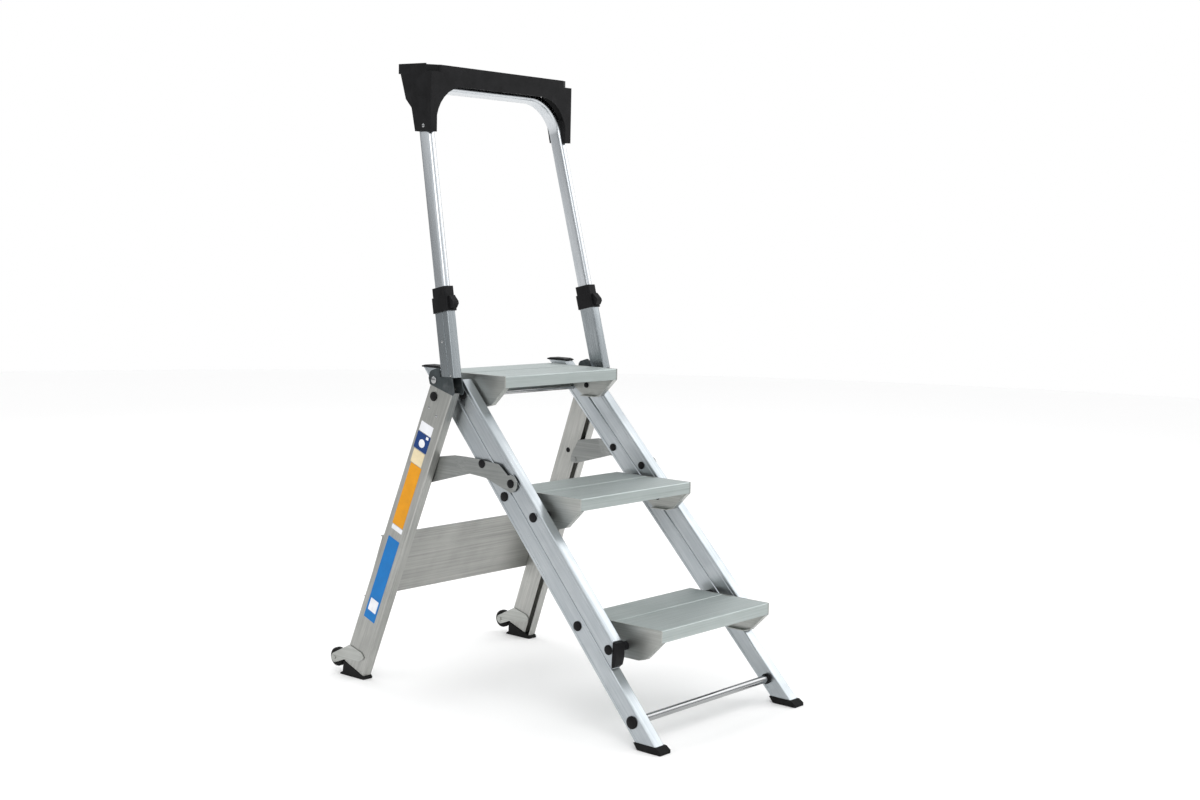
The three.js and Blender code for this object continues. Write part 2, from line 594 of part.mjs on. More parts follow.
function castorWheel() {
  const middle = spread((legInner + LEG_OUTER) / 2, WHEEL_UP);
  const half = WHEEL_WIDTH / 2;
  const hole = AXLE_RADIUS + PIN_CLEARANCE;
  return turnedPiece([
    [hole, middle - half], [WHEEL_RADIUS - 8, middle - half], [WHEEL_RADIUS - 7, middle - half + 2],
    [WHEEL_RADIUS - 4, middle - half + 1], [WHEEL_RADIUS, middle - half + 5],
    [WHEEL_RADIUS, middle + half - 5], [WHEEL_RADIUS - 4, middle + half - 1],
    [WHEEL_RADIUS - 7, middle + half - 2], [WHEEL_RADIUS - 8, middle + half], [hole, middle + half],
    [hole, middle - half],
  ], wheelCentre.y, wheelCentre.z, 24);
}

// ---- handrail -----------------------------------------------------------------------------------
// In the handrail's frame z runs up from its pivot and y runs to its rear.
const handrailOuter = spread(LEG_OUTER, handrailPivot.z) + 1.4;
const handrailInner = handrailOuter - POST_THICK;
const postLow = (ahead) => {
  const level = 8.6; // underside of the post above the pivot
  return (level - ahead * Math.sin(HANDRAIL_LEAN)) / Math.cos(HANDRAIL_LEAN);
};

function postProfile() {
  const [y0, y1] = [-POST_REAR - POST_WIDTH, -POST_REAR];
  const body = profileBar(roundedBox(handrailInner, handrailOuter, y0, y1, 3), -30, POST_LENGTH);
  const hollow = profileBar(roundedBox(handrailInner + POST_WALL, handrailOuter - POST_WALL,
    y0 + POST_WALL, y1 - POST_WALL, 1.5), -31, POST_LENGTH + 1);
  const groove = profileBar([
    [handrailOuter - 0.9, y0 + 9], [handrailOuter + 1, y0 + 9],
    [handrailOuter + 1, y0 + 17], [handrailOuter - 0.9, y0 + 17],
  ], -31, POST_LENGTH + 1);
  const endCut = sidePlate([
    [y0 - 5, -60], [y1 + 5, -60], [y1 + 5, postLow(-y1 - 5)], [y0 - 5, postLow(-y0 + 5)],
  ], handrailInner - 5, handrailOuter + 5);
  return cut(body, [hollow, groove, endCut]);
}

// The hinge plates wrap round the lower end of the post without covering it.
const hingeInner = handrailInner - SWING_GAP - PLATE;
const hingeOuter = handrailOuter - 0.2;

function hingePlate(x0) {
  const rear = POST_REAR - GAP;
  const under = (ahead) => [-ahead, postLow(ahead) - GAP - 0.1];
  const plate = sidePlate([
    [12, 19], [6, 23], [5 - rear, 24.5], [-rear, 24], under(rear), under(56), [-58, -38], [-52, -43],
    [-7, -19], [15, -7], [17, 8],
  ], x0, x0 + PLATE);
  return plate.subtract(disc(PIN_RADIUS + GAP, x0 - 5, x0 + PLATE + 5, 0, 0));
}

function handrailPin() {
  const face = hingeOuter + PLATE + SWING_GAP;
  const inner = hingeInner - SWING_GAP;
  return turnedPiece([
    [0, inner - 2], [8, inner - 2], [8, inner], [PIN_RADIUS, inner], [PIN_RADIUS, face], [8, face],
    [8, face + 1], [5, face + 3], [0, face + 3],
  ], 0, 0);
}

const COLLAR = {
  low: POST_LENGTH - 28, shoulder: POST_LENGTH + 6, top: POST_LENGTH + 27, wall: 3.2, lug: 13,
};

function collar() {
  const w = COLLAR.wall;
  const [y0, y1] = [-POST_REAR - POST_WIDTH, -POST_REAR];
  const tubeHalf = TUBE_WIDTH / 2;
  const lower = profileBar(
    roundedBox(handrailInner - w, handrailOuter + w, y0 - w, y1 + w, 4), COLLAR.low, COLLAR.shoulder);
  const middle = (handrailInner + handrailOuter) / 2;
  const upper = profileBar(roundedBox(middle - TUBE_THICK / 2 - 4, middle + TUBE_THICK / 2 + 4,
    -postMiddle - tubeHalf - 4, -postMiddle + tubeHalf + 4, 4), COLLAR.shoulder - 1, COLLAR.top);
  const lug = sidePlate([
    [y0 - w + 1, COLLAR.low + 6], [y0 - w + 1, COLLAR.shoulder - 2], [y0 - w - 4, COLLAR.shoulder - 2],
    [y0 - w - COLLAR.lug, COLLAR.shoulder - 16], [y0 - w - COLLAR.lug, COLLAR.low + 12],
    [y0 - w - 6, COLLAR.low + 4],
  ], middle - 9, middle + 9);
  const postHole = profileBar(roundedBox(handrailInner - GAP, handrailOuter + GAP, y0 - GAP, y1 + GAP, 3),
    COLLAR.low - 1, POST_LENGTH + GAP);
  const tubeHole = profileBar(roundedBox(middle - TUBE_THICK / 2 - GAP, middle + TUBE_THICK / 2 + GAP,
    -postMiddle - tubeHalf - GAP, -postMiddle + tubeHalf + GAP, 5), POST_LENGTH, COLLAR.top + 1);
  return cut(join([lower, upper, lug]), [postHole, tubeHole]);
}

// Path of the tube's middle line, in the handrail's plane: up one leg, over and down.
const tubeMiddle = (handrailInner + handrailOuter) / 2;
const TUBE_LOW = 100; // lower end of the tube, inside the post
const taperAngle = Math.atan(HANDRAIL_TAPER);
const bendCentre = (() => {
  const z = HANDRAIL_LENGTH - BEND_RADIUS;
  const startZ = z + BEND_RADIUS * Math.sin(taperAngle);
  return { x: tubeMiddle - HANDRAIL_TAPER * startZ - BEND_RADIUS * Math.cos(taperAngle), z };
})();

class HandrailPath extends THREE.Curve {
  constructor() {
    super();
    const bend = (side) => Array.from({ length: 11 }, (_, i) => {
      const angle = taperAngle + (Math.PI / 2 - taperAngle) * i / 10;
      return [side * (bendCentre.x + BEND_RADIUS * Math.cos(angle)), bendCentre.z + BEND_RADIUS * Math.sin(angle)];
    });
    const foot = tubeMiddle - HANDRAIL_TAPER * TUBE_LOW;
    this.points = [[foot, TUBE_LOW], ...bend(1), ...bend(-1).reverse(), [-foot, TUBE_LOW]];
    this.steps = this.points.length - 1;
  }

  getPoint(t, target = new THREE.Vector3()) {
    const place = Math.min(t * this.steps, this.steps - 1e-9);
    const i = Math.floor(place);
    const [a, b] = [this.points[i], this.points[i + 1]];
    return target.set(a[0] + (b[0] - a[0]) * (place - i), -postMiddle, a[1] + (b[1] - a[1]) * (place - i));
  }

  getPointAt(u, target) {
    return this.getPoint(u, target);
  }
}

function hoop(extra = 0) {
  const path = new HandrailPath();
  const [wide, thick] = [TUBE_WIDTH / 2 + extra, TUBE_THICK / 2 + extra];
  const section = roundedBox(-wide, wide, -thick, thick, 5);
  const geometry = new THREE.ExtrudeGeometry(outlineShape(section), {
    steps: path.steps, extrudePath: path, bevelEnabled: false,
  });
  return toSolid(geometry);
}

// Tool tray that caps the hoop; drawn upright in the stool's own directions from the handrail pivot.
const TRAY_ASIDE = 3.8; // from the handrail to the tray's ends
const TRAY_FRONT = 95.5 - postMiddle;
const TRAY_LOW = HANDRAIL_LENGTH - 109.5;
const TRAY = {
  half: tubeMiddle - HANDRAIL_TAPER * TRAY_LOW + TUBE_THICK / 2 + TRAY_ASIDE,
  front: TRAY_FRONT, rear: TRAY_FRONT + 103.5, top: HANDRAIL_LENGTH + 39.5,
  floor: HANDRAIL_LENGTH + 21.5, low: TRAY_LOW, panelLow: HANDRAIL_LENGTH - 6.5, wall: 2.5,
  arch: 84, arm: 19, armRear: TRAY_FRONT + 50.5, armTop: HANDRAIL_LENGTH - 56.5,
  corner: { across: 30, back: 20 },
};

const trayEndOutline = [
  [TRAY.front, TRAY.low], [TRAY.front + 48.5, TRAY.low + 1], [TRAY.front + 61.5, TRAY.low + 52],
  [TRAY.front + 81.5, TRAY.low + 73], [TRAY.rear - 4, TRAY.top - 20], [TRAY.rear + 2, TRAY.top - 20],
  [TRAY.rear + 2, TRAY.top + 2], [TRAY.front + 3, TRAY.top], [TRAY.front, TRAY.top - 4],
];

// A straight profile drawn for the right side, or its mirror image.
function mirrorProfile(side, points, z0, z1) {
  const outline = points.map(([x, y]) => [side * x, y]);
  return profileBar(side < 0 ? outline.reverse() : outline, z0, z1);
}

function trayFrontPanel() {
  const { half, front, top, panelLow, low, wall, arch } = TRAY;
  const inner = half - 17;
  const shape = [
    [-half + 8, top - 2], [-half, top - 18], [-half, low], [-inner - 2, low],
    ...arc(-inner + arch, panelLow - arch, arch, 180, 90, 8),
    ...arc(inner - arch, panelLow - arch, arch, 90, 0, 8),
    [inner + 2, low], [half, low], [half, top - 18], [half - 8, top - 2],
  ];
  const geometry = new THREE.ExtrudeGeometry(outlineShape(shape), { depth: wall, bevelEnabled: false });
  geometry.rotateX(Math.PI / 2).translate(0, front + wall, 0);
  return toSolid(geometry);
}

function tray() {
  const { half, front, rear, top, floor, low, armTop, wall } = TRAY;
  const ends = [
    sidePlate(trayEndOutline, half - wall, half), sidePlate(trayEndOutline, -half, -half + wall),
  ];
  const board = sidePlate([
    [front, floor], [rear, floor], [rear, top], [rear - wall, top], [rear - wall, floor + wall],
    [front, floor + wall],
  ], -half + 1, half - 1);
  const arms = [-1, 1].map((side) => {
    const x = [side * half, side * (half - TRAY.arm)].sort((a, b) => a - b);
    return sidePlate([[front, low], [TRAY.armRear, low + 1], [TRAY.armRear + 12, armTop], [front, armTop]], ...x);
  });
  const lean = new THREE.Matrix4().makeRotationX(-HANDRAIL_LEAN);
  const tube = hoop(GAP).transform(lean.elements);
  const body = cut(join([trayFrontPanel(), ...ends, board, ...arms]), [tube]);
  // The two front corners of the rim are cut off slantwise and closed again by a slanted wall.
  const { across, back } = TRAY.corner;
  const wallsAt = [-1, 1].map((side) => mirrorProfile(side, [
    [half - across - 1, front + 0.3], [half - 0.3, front + back], [half - 0.3, front + back + 2 * wall],
    [half - across - 1, front + 2 * wall],
  ], floor, top - 2));
  const wedges = [-1, 1].map((side) => mirrorProfile(side, [
    [half - across, front - 1], [half + 1, front - 1], [half + 1, front + back + 1],
  ], floor + 0.5, top + 10));
  return join([cut(body, wedges), ...wallsAt]);
}

// ---- assembly -------------------------------------------------------------------------------
const STEP_NAMES = ['step_lower', 'step_upper', 'platform'];

function addSide([label, side]) {
  const plain = sideGroup(side);
  const splayed = splayGroup(plain, SPLAY, SPLAY_HEIGHT);
  const rails = frameGroup(splayed, railTop, INCLINE - Math.PI / 2);
  rails.add(named(`main_rail_${label}`, mainRail(), FINISH.rail));
  rails.add(named(`front_rail_${label}`, frontRail(), FINISH.rail));
  splayed.add(named(`front_rail_plug_${label}`, frontRailPlug(), FINISH.black));
  splayed.add(named(`rail_top_cap_${label}`, railTopCap(), FINISH.black));
  splayed.add(named(`front_foot_${label}`, frontFoot(), FINISH.black));

  const leg = frameGroup(splayed, legPivot, LEG_LEAN);
  leg.add(named(`rear_leg_${label}`, rearLeg(), FINISH.leg));
  splayed.add(named(`rear_foot_${label}`, rearFoot(), FINISH.black));
  splayed.add(named(`wheel_bracket_${label}`, wheelBracket(), FINISH.link));
  plain.add(named(`wheel_${label}`, castorWheel(), FINISH.black));

  plain.add(named(`link_plate_${label}`, linkPlate(), FINISH.link));
  plain.add(named(`link_rail_pin_${label}`, linkPin(linkPivot), FINISH.black));
  plain.add(named(`link_front_pin_${label}`, linkPin(linkFront), FINISH.black));

  STEP_NAMES.forEach((name, step) => {
    const frame = frameGroup(plain, { y: treadFront(step), z: treadTop(step) }, 0);
    frame.add(named(`${name}_bracket_${label}`, treadBracket(), FINISH.bracket));
    frame.add(named(`${name}_rail_pin_${label}`, treadPin(STEP_PIVOT, step), FINISH.black));
    frame.add(named(`${name}_front_pin_${label}`, treadPin(STEP_FRONT_PIVOT, step), FINISH.black));
  });

  const handrail = frameGroup(plain, handrailPivot, -HANDRAIL_LEAN);
  const tapered = splayGroup(handrail, HANDRAIL_TAPER, 0);
  tapered.add(named(`post_profile_${label}`, postProfile(), FINISH.rail));
  const plates = { inner: hingeInner, outer: hingeOuter };
  Object.entries(plates).forEach(([place, x0]) => {
    tapered.add(named(`hinge_plate_${place}_${label}`, hingePlate(x0), FINISH.hinge));
  });
  tapered.add(named(`collar_${label}`, collar(), FINISH.black));
  handrail.add(named(`handrail_pin_${label}`, handrailPin(), FINISH.bright));
}

SIDES.forEach(addSide);

STEP_NAMES.forEach((name, step) => {
  const frame = frameGroup(stool, { y: treadFront(step), z: treadTop(step) }, 0);
  frame.add(named(`${name}_tread`, treadBoard(), FINISH.tread));
});

stool.add(named('cross_bar_lower', lowerBar(), FINISH.bright));
stool.add(named('cross_bar_upper', upperBar(), FINISH.bright));
stool.add(named('brace_panel', bracePanel(), FINISH.leg));
frameGroup(stool, handrailPivot, -HANDRAIL_LEAN).add(named('handrail_hoop', hoop(), FINISH.rail));
frameGroup(stool, handrailPivot, 0).add(named('tool_tray', tray(), FINISH.black));

const group = new THREE.Group();
group.add(stool);

export default group;
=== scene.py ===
"""Folding step stool: finishes, turned fittings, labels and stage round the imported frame."""
import json
import math

import bmesh
import bpy
from bpy.props import FloatProperty, FloatVectorProperty, IntProperty, PointerProperty
from bpy.types import Operator, Panel, PropertyGroup
from mathutils import Matrix, Vector


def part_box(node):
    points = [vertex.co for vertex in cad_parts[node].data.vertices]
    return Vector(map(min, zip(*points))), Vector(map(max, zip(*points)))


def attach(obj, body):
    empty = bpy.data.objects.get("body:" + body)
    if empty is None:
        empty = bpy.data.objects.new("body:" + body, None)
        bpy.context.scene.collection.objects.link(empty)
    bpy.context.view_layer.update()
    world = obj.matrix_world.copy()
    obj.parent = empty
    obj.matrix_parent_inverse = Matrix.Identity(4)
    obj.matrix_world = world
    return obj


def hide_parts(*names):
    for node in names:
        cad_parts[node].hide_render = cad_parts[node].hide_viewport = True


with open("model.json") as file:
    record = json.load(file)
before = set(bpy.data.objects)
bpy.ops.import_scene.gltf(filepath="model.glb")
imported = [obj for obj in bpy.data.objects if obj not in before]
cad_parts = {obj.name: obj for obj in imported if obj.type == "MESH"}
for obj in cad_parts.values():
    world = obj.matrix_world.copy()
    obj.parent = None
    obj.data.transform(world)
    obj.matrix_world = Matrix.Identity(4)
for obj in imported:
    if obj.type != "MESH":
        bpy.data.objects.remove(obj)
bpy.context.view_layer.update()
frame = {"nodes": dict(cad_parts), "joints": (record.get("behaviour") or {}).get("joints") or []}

bl_info = {
    "name": "Folding step stool",
    "version": (1, 0, 0),
    "blender": (4, 5, 0),
    "location": "View3D > Sidebar > Stool",
    "description": "Dresses a folding step stool's frame with finishes, fittings and labels",
    "category": "Object",
}

SIDES = {"left": -1, "right": 1}
STEPS = ("step_lower", "step_upper", "platform")
JOINTS = {joint["name"]: joint for joint in frame["joints"]}
PIVOTS = {name: Vector(joint["pos_m"]) for name, joint in JOINTS.items()}

# The side frames spread outwards towards the floor, level by level.
SPREAD = 0.042
SPREAD_LEVEL = 0.366
LEG_LEAN = math.radians(20.5)
LEG_OUTER = 0.276
LEG_INNER = 0.253
RAIL_OUTER = 0.2388
RAIL_INNER = 0.2098
POST_ASIDE = 0.0014  # how far the post stands out past the leg
HANDRAIL_LEAN = math.radians(12.8)
HANDRAIL_TAPER = 0.06
RAIL_SLOPE = 47.24
LEG_SLOPE = 110.5
POST_SLOPE = 77.2


# ---- sizes and colours that a user may change ------------------------------------------------
def length(name, description, default, low, high):
    return FloatProperty(
        name=name, description=description, default=default, min=low, max=high,
        subtype="DISTANCE", unit="LENGTH")


def colour(name, description, default):
    return FloatVectorProperty(
        name=name, description=description, default=default, min=0, max=1, size=3,
        subtype="COLOR")


class StoolSizes(PropertyGroup):
    tube_wide: length("Tube width", "Hoop tube, front to back", 0.034, 0.02, 0.05)
    tube_thick: length("Tube thickness", "Hoop tube, side to side", 0.0206, 0.012, 0.03)
    bend: length("Bend radius", "Middle line of the hoop's bends", 0.088, 0.05, 0.12)
    hoop_reach: length("Hoop reach", "Handrail pivot to the top tube's middle", 0.6545, 0.5, 0.8)
    soft_edge: length("Edge rounding", "Rounding on cut metal edges", 0.0008, 0, 0.003)
    moulded_edge: length("Moulded rounding", "Rounding on plastic edges", 0.0018, 0, 0.004)
    label_thick: length("Label thickness", "How far a label stands proud", 0.0003, 0.0001, 0.001)
    facets: IntProperty(
        name="Facets", description="Facets round a turned piece", default=40, min=16, max=96)


class StoolColours(PropertyGroup):
    rail_dark: colour("Rail, dark", "Darker drawn lines on rails", (0.40, 0.435, 0.46))
    rail_light: colour("Rail, light", "Lighter drawn lines on rails", (0.50, 0.53, 0.55))
    post_dark: colour("Post, dark", "Darker drawn lines on the posts", (0.24, 0.265, 0.28))
    post_light: colour("Post, light", "Lighter drawn lines on the posts", (0.36, 0.385, 0.40))
    hoop_dark: colour("Hoop, dark", "Darker drawn lines on the hoop", (0.50, 0.53, 0.555))
    hoop_light: colour("Hoop, light", "Lighter drawn lines on the hoop", (0.60, 0.62, 0.64))
    link_dark: colour("Link, dark", "Darker brushing on the links", (0.24, 0.25, 0.245))
    link_light: colour("Link, light", "Lighter brushing on the links", (0.33, 0.34, 0.33))
    leg_dark: colour("Leg, dark", "Darker drawn lines on the rear legs", (0.33, 0.335, 0.32))
    leg_light: colour("Leg, light", "Lighter drawn lines on the rear legs", (0.46, 0.46, 0.44))
    # Tread colours: the dark one is painted shade in the rib valleys and the light one a painted highlight on
    # the rib crests, and both also tint the drawn lines
    tread_dark: colour("Tread, dark", "Valleys of the tread's ribs", (0.36, 0.405, 0.394))
    tread_light: colour("Tread, light", "Crests of the tread's ribs", (0.54, 0.585, 0.578))
    plate_dark: colour("Plate, dark", "Darker brushing on pressed plates", (0.38, 0.39, 0.37))
    plate_light: colour("Plate, light", "Lighter brushing on pressed plates", (0.50, 0.51, 0.49))
    slate: colour("Slate coating", "Coating of the hinge plates", (0.036, 0.044, 0.047))
    bright: colour("Bright steel", "Cross bars and pin heads", (0.40, 0.405, 0.41))
    black: colour("Black plastic", "Caps, collars and tray", (0.0045, 0.0045, 0.005))
    rubber: colour("Rubber", "Feet and castor tyres", (0.007, 0.007, 0.007))
    blue: colour("Label blue", "Long blank label", (0.0, 0.145, 0.43))
    navy: colour("Label navy", "Short dark label", (0.004, 0.035, 0.16))
    amber: colour("Label amber", "Long amber label", (0.65, 0.27, 0.003))
    paper: colour("Label white", "White labels and patches", (0.72, 0.73, 0.76))
    cream: colour("Label cream", "Short cream label", (0.68, 0.58, 0.38))


class StoolStage(PropertyGroup):
    floor_tone: colour("Floor", "Pale floor", (0.97, 0.97, 0.97))
    sky_tone: colour("Surroundings", "Light from all round", (1.0, 1.0, 1.0))
    key_power: FloatProperty(
        name="Key light", description="Power of the large soft lamp", default=60, min=0,
        subtype="POWER", unit="POWER")
    lens: FloatProperty(
        name="Lens", description="Focal length of the camera", default=49.28, min=10,
        subtype="DISTANCE_CAMERA", unit="CAMERA")


def sizes():
    return bpy.context.scene.stool_sizes


def colours():
    return bpy.context.scene.stool_colours


# ---- shared shader effects -------------------------------------------------------------------
def new_group(name, inputs, outputs):
    group = bpy.data.node_groups.new(name, "ShaderNodeTree")
    for label, kind, default in inputs:
        socket = group.interface.new_socket(name=label, in_out="INPUT", socket_type=kind)
        if default is not None:
            socket.default_value = default
    for label in outputs:
        group.interface.new_socket(name=label, in_out="OUTPUT", socket_type="NodeSocketFloat")
    start = group.nodes.new("NodeGroupInput")
    end = group.nodes.new("NodeGroupOutput")
    return group, start, end


def noise(tree, vector, scale, detail, roughness=0.5):
    node = tree.nodes.new("ShaderNodeTexNoise")
    node.inputs["Detail"].default_value = detail
    node.inputs["Roughness"].default_value = roughness
    tree.links.new(vector, node.inputs["Vector"])
    if hasattr(scale, "is_linked"):
        tree.links.new(scale, node.inputs["Scale"])
    else:
        node.inputs["Scale"].default_value = scale
    return node.outputs["Fac"]


def spread_range(tree, value, low, high, to_low=0.0, to_high=1.0):
    node = tree.nodes.new("ShaderNodeMapRange")
    for name, number in (("From Min", low), ("From Max", high), ("To Min", to_low), ("To Max", to_high)):
        node.inputs[name].default_value = number
    tree.links.new(value, node.inputs["Value"])
    return node.outputs["Result"]


def maths(tree, operation, first, second):
    node = tree.nodes.new("ShaderNodeMath")
    node.operation = operation
    for slot, value in enumerate((first, second)):
        if isinstance(value, (int, float)):
            node.inputs[slot].default_value = value
        else:
            tree.links.new(value, node.inputs[slot])
    return node.outputs[0]


def make_drawn_lines():
    """Fine lines along the first axis of the vector, as drawing or brushing leaves them."""
    group, start, end = new_group(
        "Drawn lines", [("Vector", "NodeSocketVector", None), ("Density", "NodeSocketFloat", 1.0)],
        ["Shade", "Height"])
    stretch = group.nodes.new("ShaderNodeMapping")
    stretch.inputs["Scale"].default_value = (3, 260, 260)
    group.links.new(start.outputs["Vector"], stretch.inputs["Vector"])
    fine = noise(group, stretch.outputs[0], start.outputs["Density"], 4, 0.65)
    broad = noise(group, start.outputs["Vector"], 9, 2)
    mixed = maths(group, "ADD", maths(group, "MULTIPLY", fine, 0.7), maths(group, "MULTIPLY", broad, 0.3))
    group.links.new(spread_range(group, mixed, 0.34, 0.66), end.inputs["Shade"])
    group.links.new(fine, end.inputs["Height"])
    return group


def make_handling_marks():
    """Faint smudges and scuffs from handling, as a mask."""
    group, start, end = new_group(
        "Handling marks", [("Vector", "NodeSocketVector", None), ("Size", "NodeSocketFloat", 20.0),
                           ("Amount", "NodeSocketFloat", 0.4)], ["Mask"])
    smudges = noise(group, start.outputs["Vector"], start.outputs["Size"], 6, 0.6)
    patches = spread_range(group, smudges, 0.5, 0.72)
    scratches = group.nodes.new("ShaderNodeMapping")
    scratches.inputs["Scale"].default_value = (400, 30, 90)
    scratches.inputs["Rotation"].default_value = (0.4, 0.7, 0.3)
    group.links.new(start.outputs["Vector"], scratches.inputs["Vector"])
    nicks = spread_range(group, noise(group, scratches.outputs[0], 1.0, 2, 0.4), 0.68, 0.74)
    both = maths(group, "MAXIMUM", patches, maths(group, "MULTIPLY", nicks, 0.6))
    group.links.new(maths(group, "MULTIPLY", both, start.outputs["Amount"]), end.inputs["Mask"])
    return group


def make_moulded_grain():
    """The fine spark-eroded grain of moulded plastic or rubber."""
    group, start, end = new_group(
        "Moulded grain", [("Vector", "NodeSocketVector", None), ("Size", "NodeSocketFloat", 1400.0)],
        ["Shade", "Height"])
    cells = group.nodes.new("ShaderNodeTexVoronoi")
    group.links.new(start.outputs["Vector"], cells.inputs["Vector"])
    group.links.new(start.outputs["Size"], cells.inputs["Scale"])
    cloud = noise(group, start.outputs["Vector"], 35, 4, 0.6)
    group.links.new(spread_range(group, cloud, 0.35, 0.65), end.inputs["Shade"])
    group.links.new(cells.outputs["Distance"], end.inputs["Height"])
    return group


SHARED = {"lines": make_drawn_lines, "marks": make_handling_marks, "grain": make_moulded_grain}


def place_group(tree, key, vector, **values):
    name = {"lines": "Drawn lines", "marks": "Handling marks", "grain": "Moulded grain"}[key]
    node = tree.nodes.new("ShaderNodeGroup")
    node.node_tree = bpy.data.node_groups.get(name) or SHARED[key]()
    tree.links.new(vector, node.inputs["Vector"])
    for label, value in values.items():
        node.inputs[label].default_value = value
    return node


# ---- materials -------------------------------------------------------------------------------
def blank_material(name):
    material = bpy.data.materials.new(name)
    material.use_nodes = True
    tree = material.node_tree
    return material, tree, tree.nodes["Principled BSDF"]


def object_vector(tree, slope=None, turn=0.0):
    """Object coordinates; with a slope, their first axis lies along that slope in the side plane."""
    place = tree.nodes.new("ShaderNodeTexCoord").outputs["Object"]
    if slope is None and not turn:
        return place
    level = tree.nodes.new("ShaderNodeMapping")
    level.inputs["Rotation"].default_value = (math.radians(-(slope or 0)), 0, 0)
    tree.links.new(place, level.inputs["Vector"])
    quarter = tree.nodes.new("ShaderNodeMapping")
    quarter.inputs["Rotation"].default_value = (0, 0, math.radians(-90 + turn))
    tree.links.new(level.outputs[0], quarter.inputs["Vector"])
    return quarter.outputs[0]


def mix_colours(tree, factor, first, second):
    node = tree.nodes.new("ShaderNodeMix")
    node.data_type = "RGBA"
    tree.links.new(factor, node.inputs["Factor"])
    for socket, value in ((node.inputs[6], first), (node.inputs[7], second)):
        if hasattr(value, "is_linked"):
            tree.links.new(value, socket)
        else:
            socket.default_value = (*value, 1)
    return node.outputs[2]


def bump(tree, shader, height, strength, distance):
    node = tree.nodes.new("ShaderNodeBump")
    node.inputs["Strength"].default_value = strength
    node.inputs["Distance"].default_value = distance
    tree.links.new(height, node.inputs["Height"])
    tree.links.new(node.outputs["Normal"], shader.inputs["Normal"])


def drawn_metal(name, dark, light, slope=0.0, turn=0.0, rough=(0.26, 0.4), density=1.0, marks=0.25):
    """Satin metal with lines along its length and faint marks from use."""
    material, tree, shader = blank_material(name)
    along = object_vector(tree, slope, turn)
    lines = place_group(tree, "lines", along, Density=density)
    marked = place_group(tree, "marks", object_vector(tree), Size=14, Amount=marks)
    body = mix_colours(tree, lines.outputs["Shade"], dark, light)
    worn = tuple(0.86 * channel for channel in dark)
    tree.links.new(mix_colours(tree, marked.outputs["Mask"], body, worn), shader.inputs["Base Color"])
    shader.inputs["Metallic"].default_value = 1
    sheen = spread_range(tree, lines.outputs["Shade"], 0, 1, rough[1], rough[0])
    dulled = maths(tree, "ADD", sheen, maths(tree, "MULTIPLY", marked.outputs["Mask"], 0.2))
    tree.links.new(dulled, shader.inputs["Roughness"])
    bump(tree, shader, lines.outputs["Height"], 0.05, 0.0002)
    return material


def ribbed_tread(name):
    """Matt tread boards with fine ribs across the step and faint marks from use."""
    material, tree, shader = blank_material(name)
    place = object_vector(tree)
    ribs = tree.nodes.new("ShaderNodeTexWave")
    ribs.bands_direction = "Y"
    ribs.inputs["Scale"].default_value = 110
    tree.links.new(place, ribs.inputs["Vector"])
    lines = place_group(tree, "lines", object_vector(tree, 0, 90), Density=1.2)
    marked = place_group(tree, "marks", place, Size=9, Amount=0.5)
    # The rib wave drives the colour as well as the bump: painted shade in the rib valleys and a painted
    # highlight on the rib crests, mixed with the drawn lines
    shade = maths(tree, "ADD", maths(tree, "MULTIPLY", ribs.outputs["Fac"], 0.45),
                  maths(tree, "MULTIPLY", lines.outputs["Shade"], 0.55))
    body = mix_colours(tree, shade, colours().tread_dark, colours().tread_light)
    tone = mix_colours(tree, marked.outputs["Mask"], body, tuple(1.15 * c for c in colours().tread_dark))
    tree.links.new(tone, shader.inputs["Base Color"])
    shader.inputs["Metallic"].default_value = 0.85
    tree.links.new(spread_range(tree, lines.outputs["Shade"], 0, 1, 0.55, 0.42), shader.inputs["Roughness"])
    bump(tree, shader, ribs.outputs["Fac"], 0.35, 0.0004)
    return material


def moulded(name, tone, rough=0.45, size=1400.0, lift=1.9):
    """Black plastic or rubber with moulded grain and a little dust in it."""
    material, tree, shader = blank_material(name)
    place = object_vector(tree)
    grain = place_group(tree, "grain", place, Size=size)
    marked = place_group(tree, "marks", place, Size=22, Amount=0.5)
    body = mix_colours(tree, grain.outputs["Shade"], tone, tuple(lift * channel for channel in tone))
    dusty = tuple(0.006 + 1.8 * channel for channel in tone)
    tree.links.new(mix_colours(tree, marked.outputs["Mask"], body, dusty), shader.inputs["Base Color"])
    uneven = maths(tree, "ADD", maths(tree, "MULTIPLY", marked.outputs["Mask"], 0.25), rough)
    shader.inputs["Specular IOR Level"].default_value = 0.12
    tree.links.new(uneven, shader.inputs["Roughness"])
    bump(tree, shader, grain.outputs["Height"], 0.2, 0.0002)
    return material


def coated_plate(name):
    material, tree, shader = blank_material(name)
    place = object_vector(tree)
    grain = place_group(tree, "grain", place, Size=900.0)
    marked = place_group(tree, "marks", place, Size=40, Amount=0.5)
    body = mix_colours(tree, grain.outputs["Shade"], colours().slate, tuple(1.5 * c for c in colours().slate))
    chipped = mix_colours(tree, marked.outputs["Mask"], body, (0.16, 0.17, 0.175))
    tree.links.new(chipped, shader.inputs["Base Color"])
    shader.inputs["Metallic"].default_value = 0.55
    tree.links.new(maths(tree, "ADD", maths(tree, "MULTIPLY", marked.outputs["Mask"], 0.2), 0.42),
                   shader.inputs["Roughness"])
    bump(tree, shader, grain.outputs["Height"], 0.15, 0.0002)
    return material


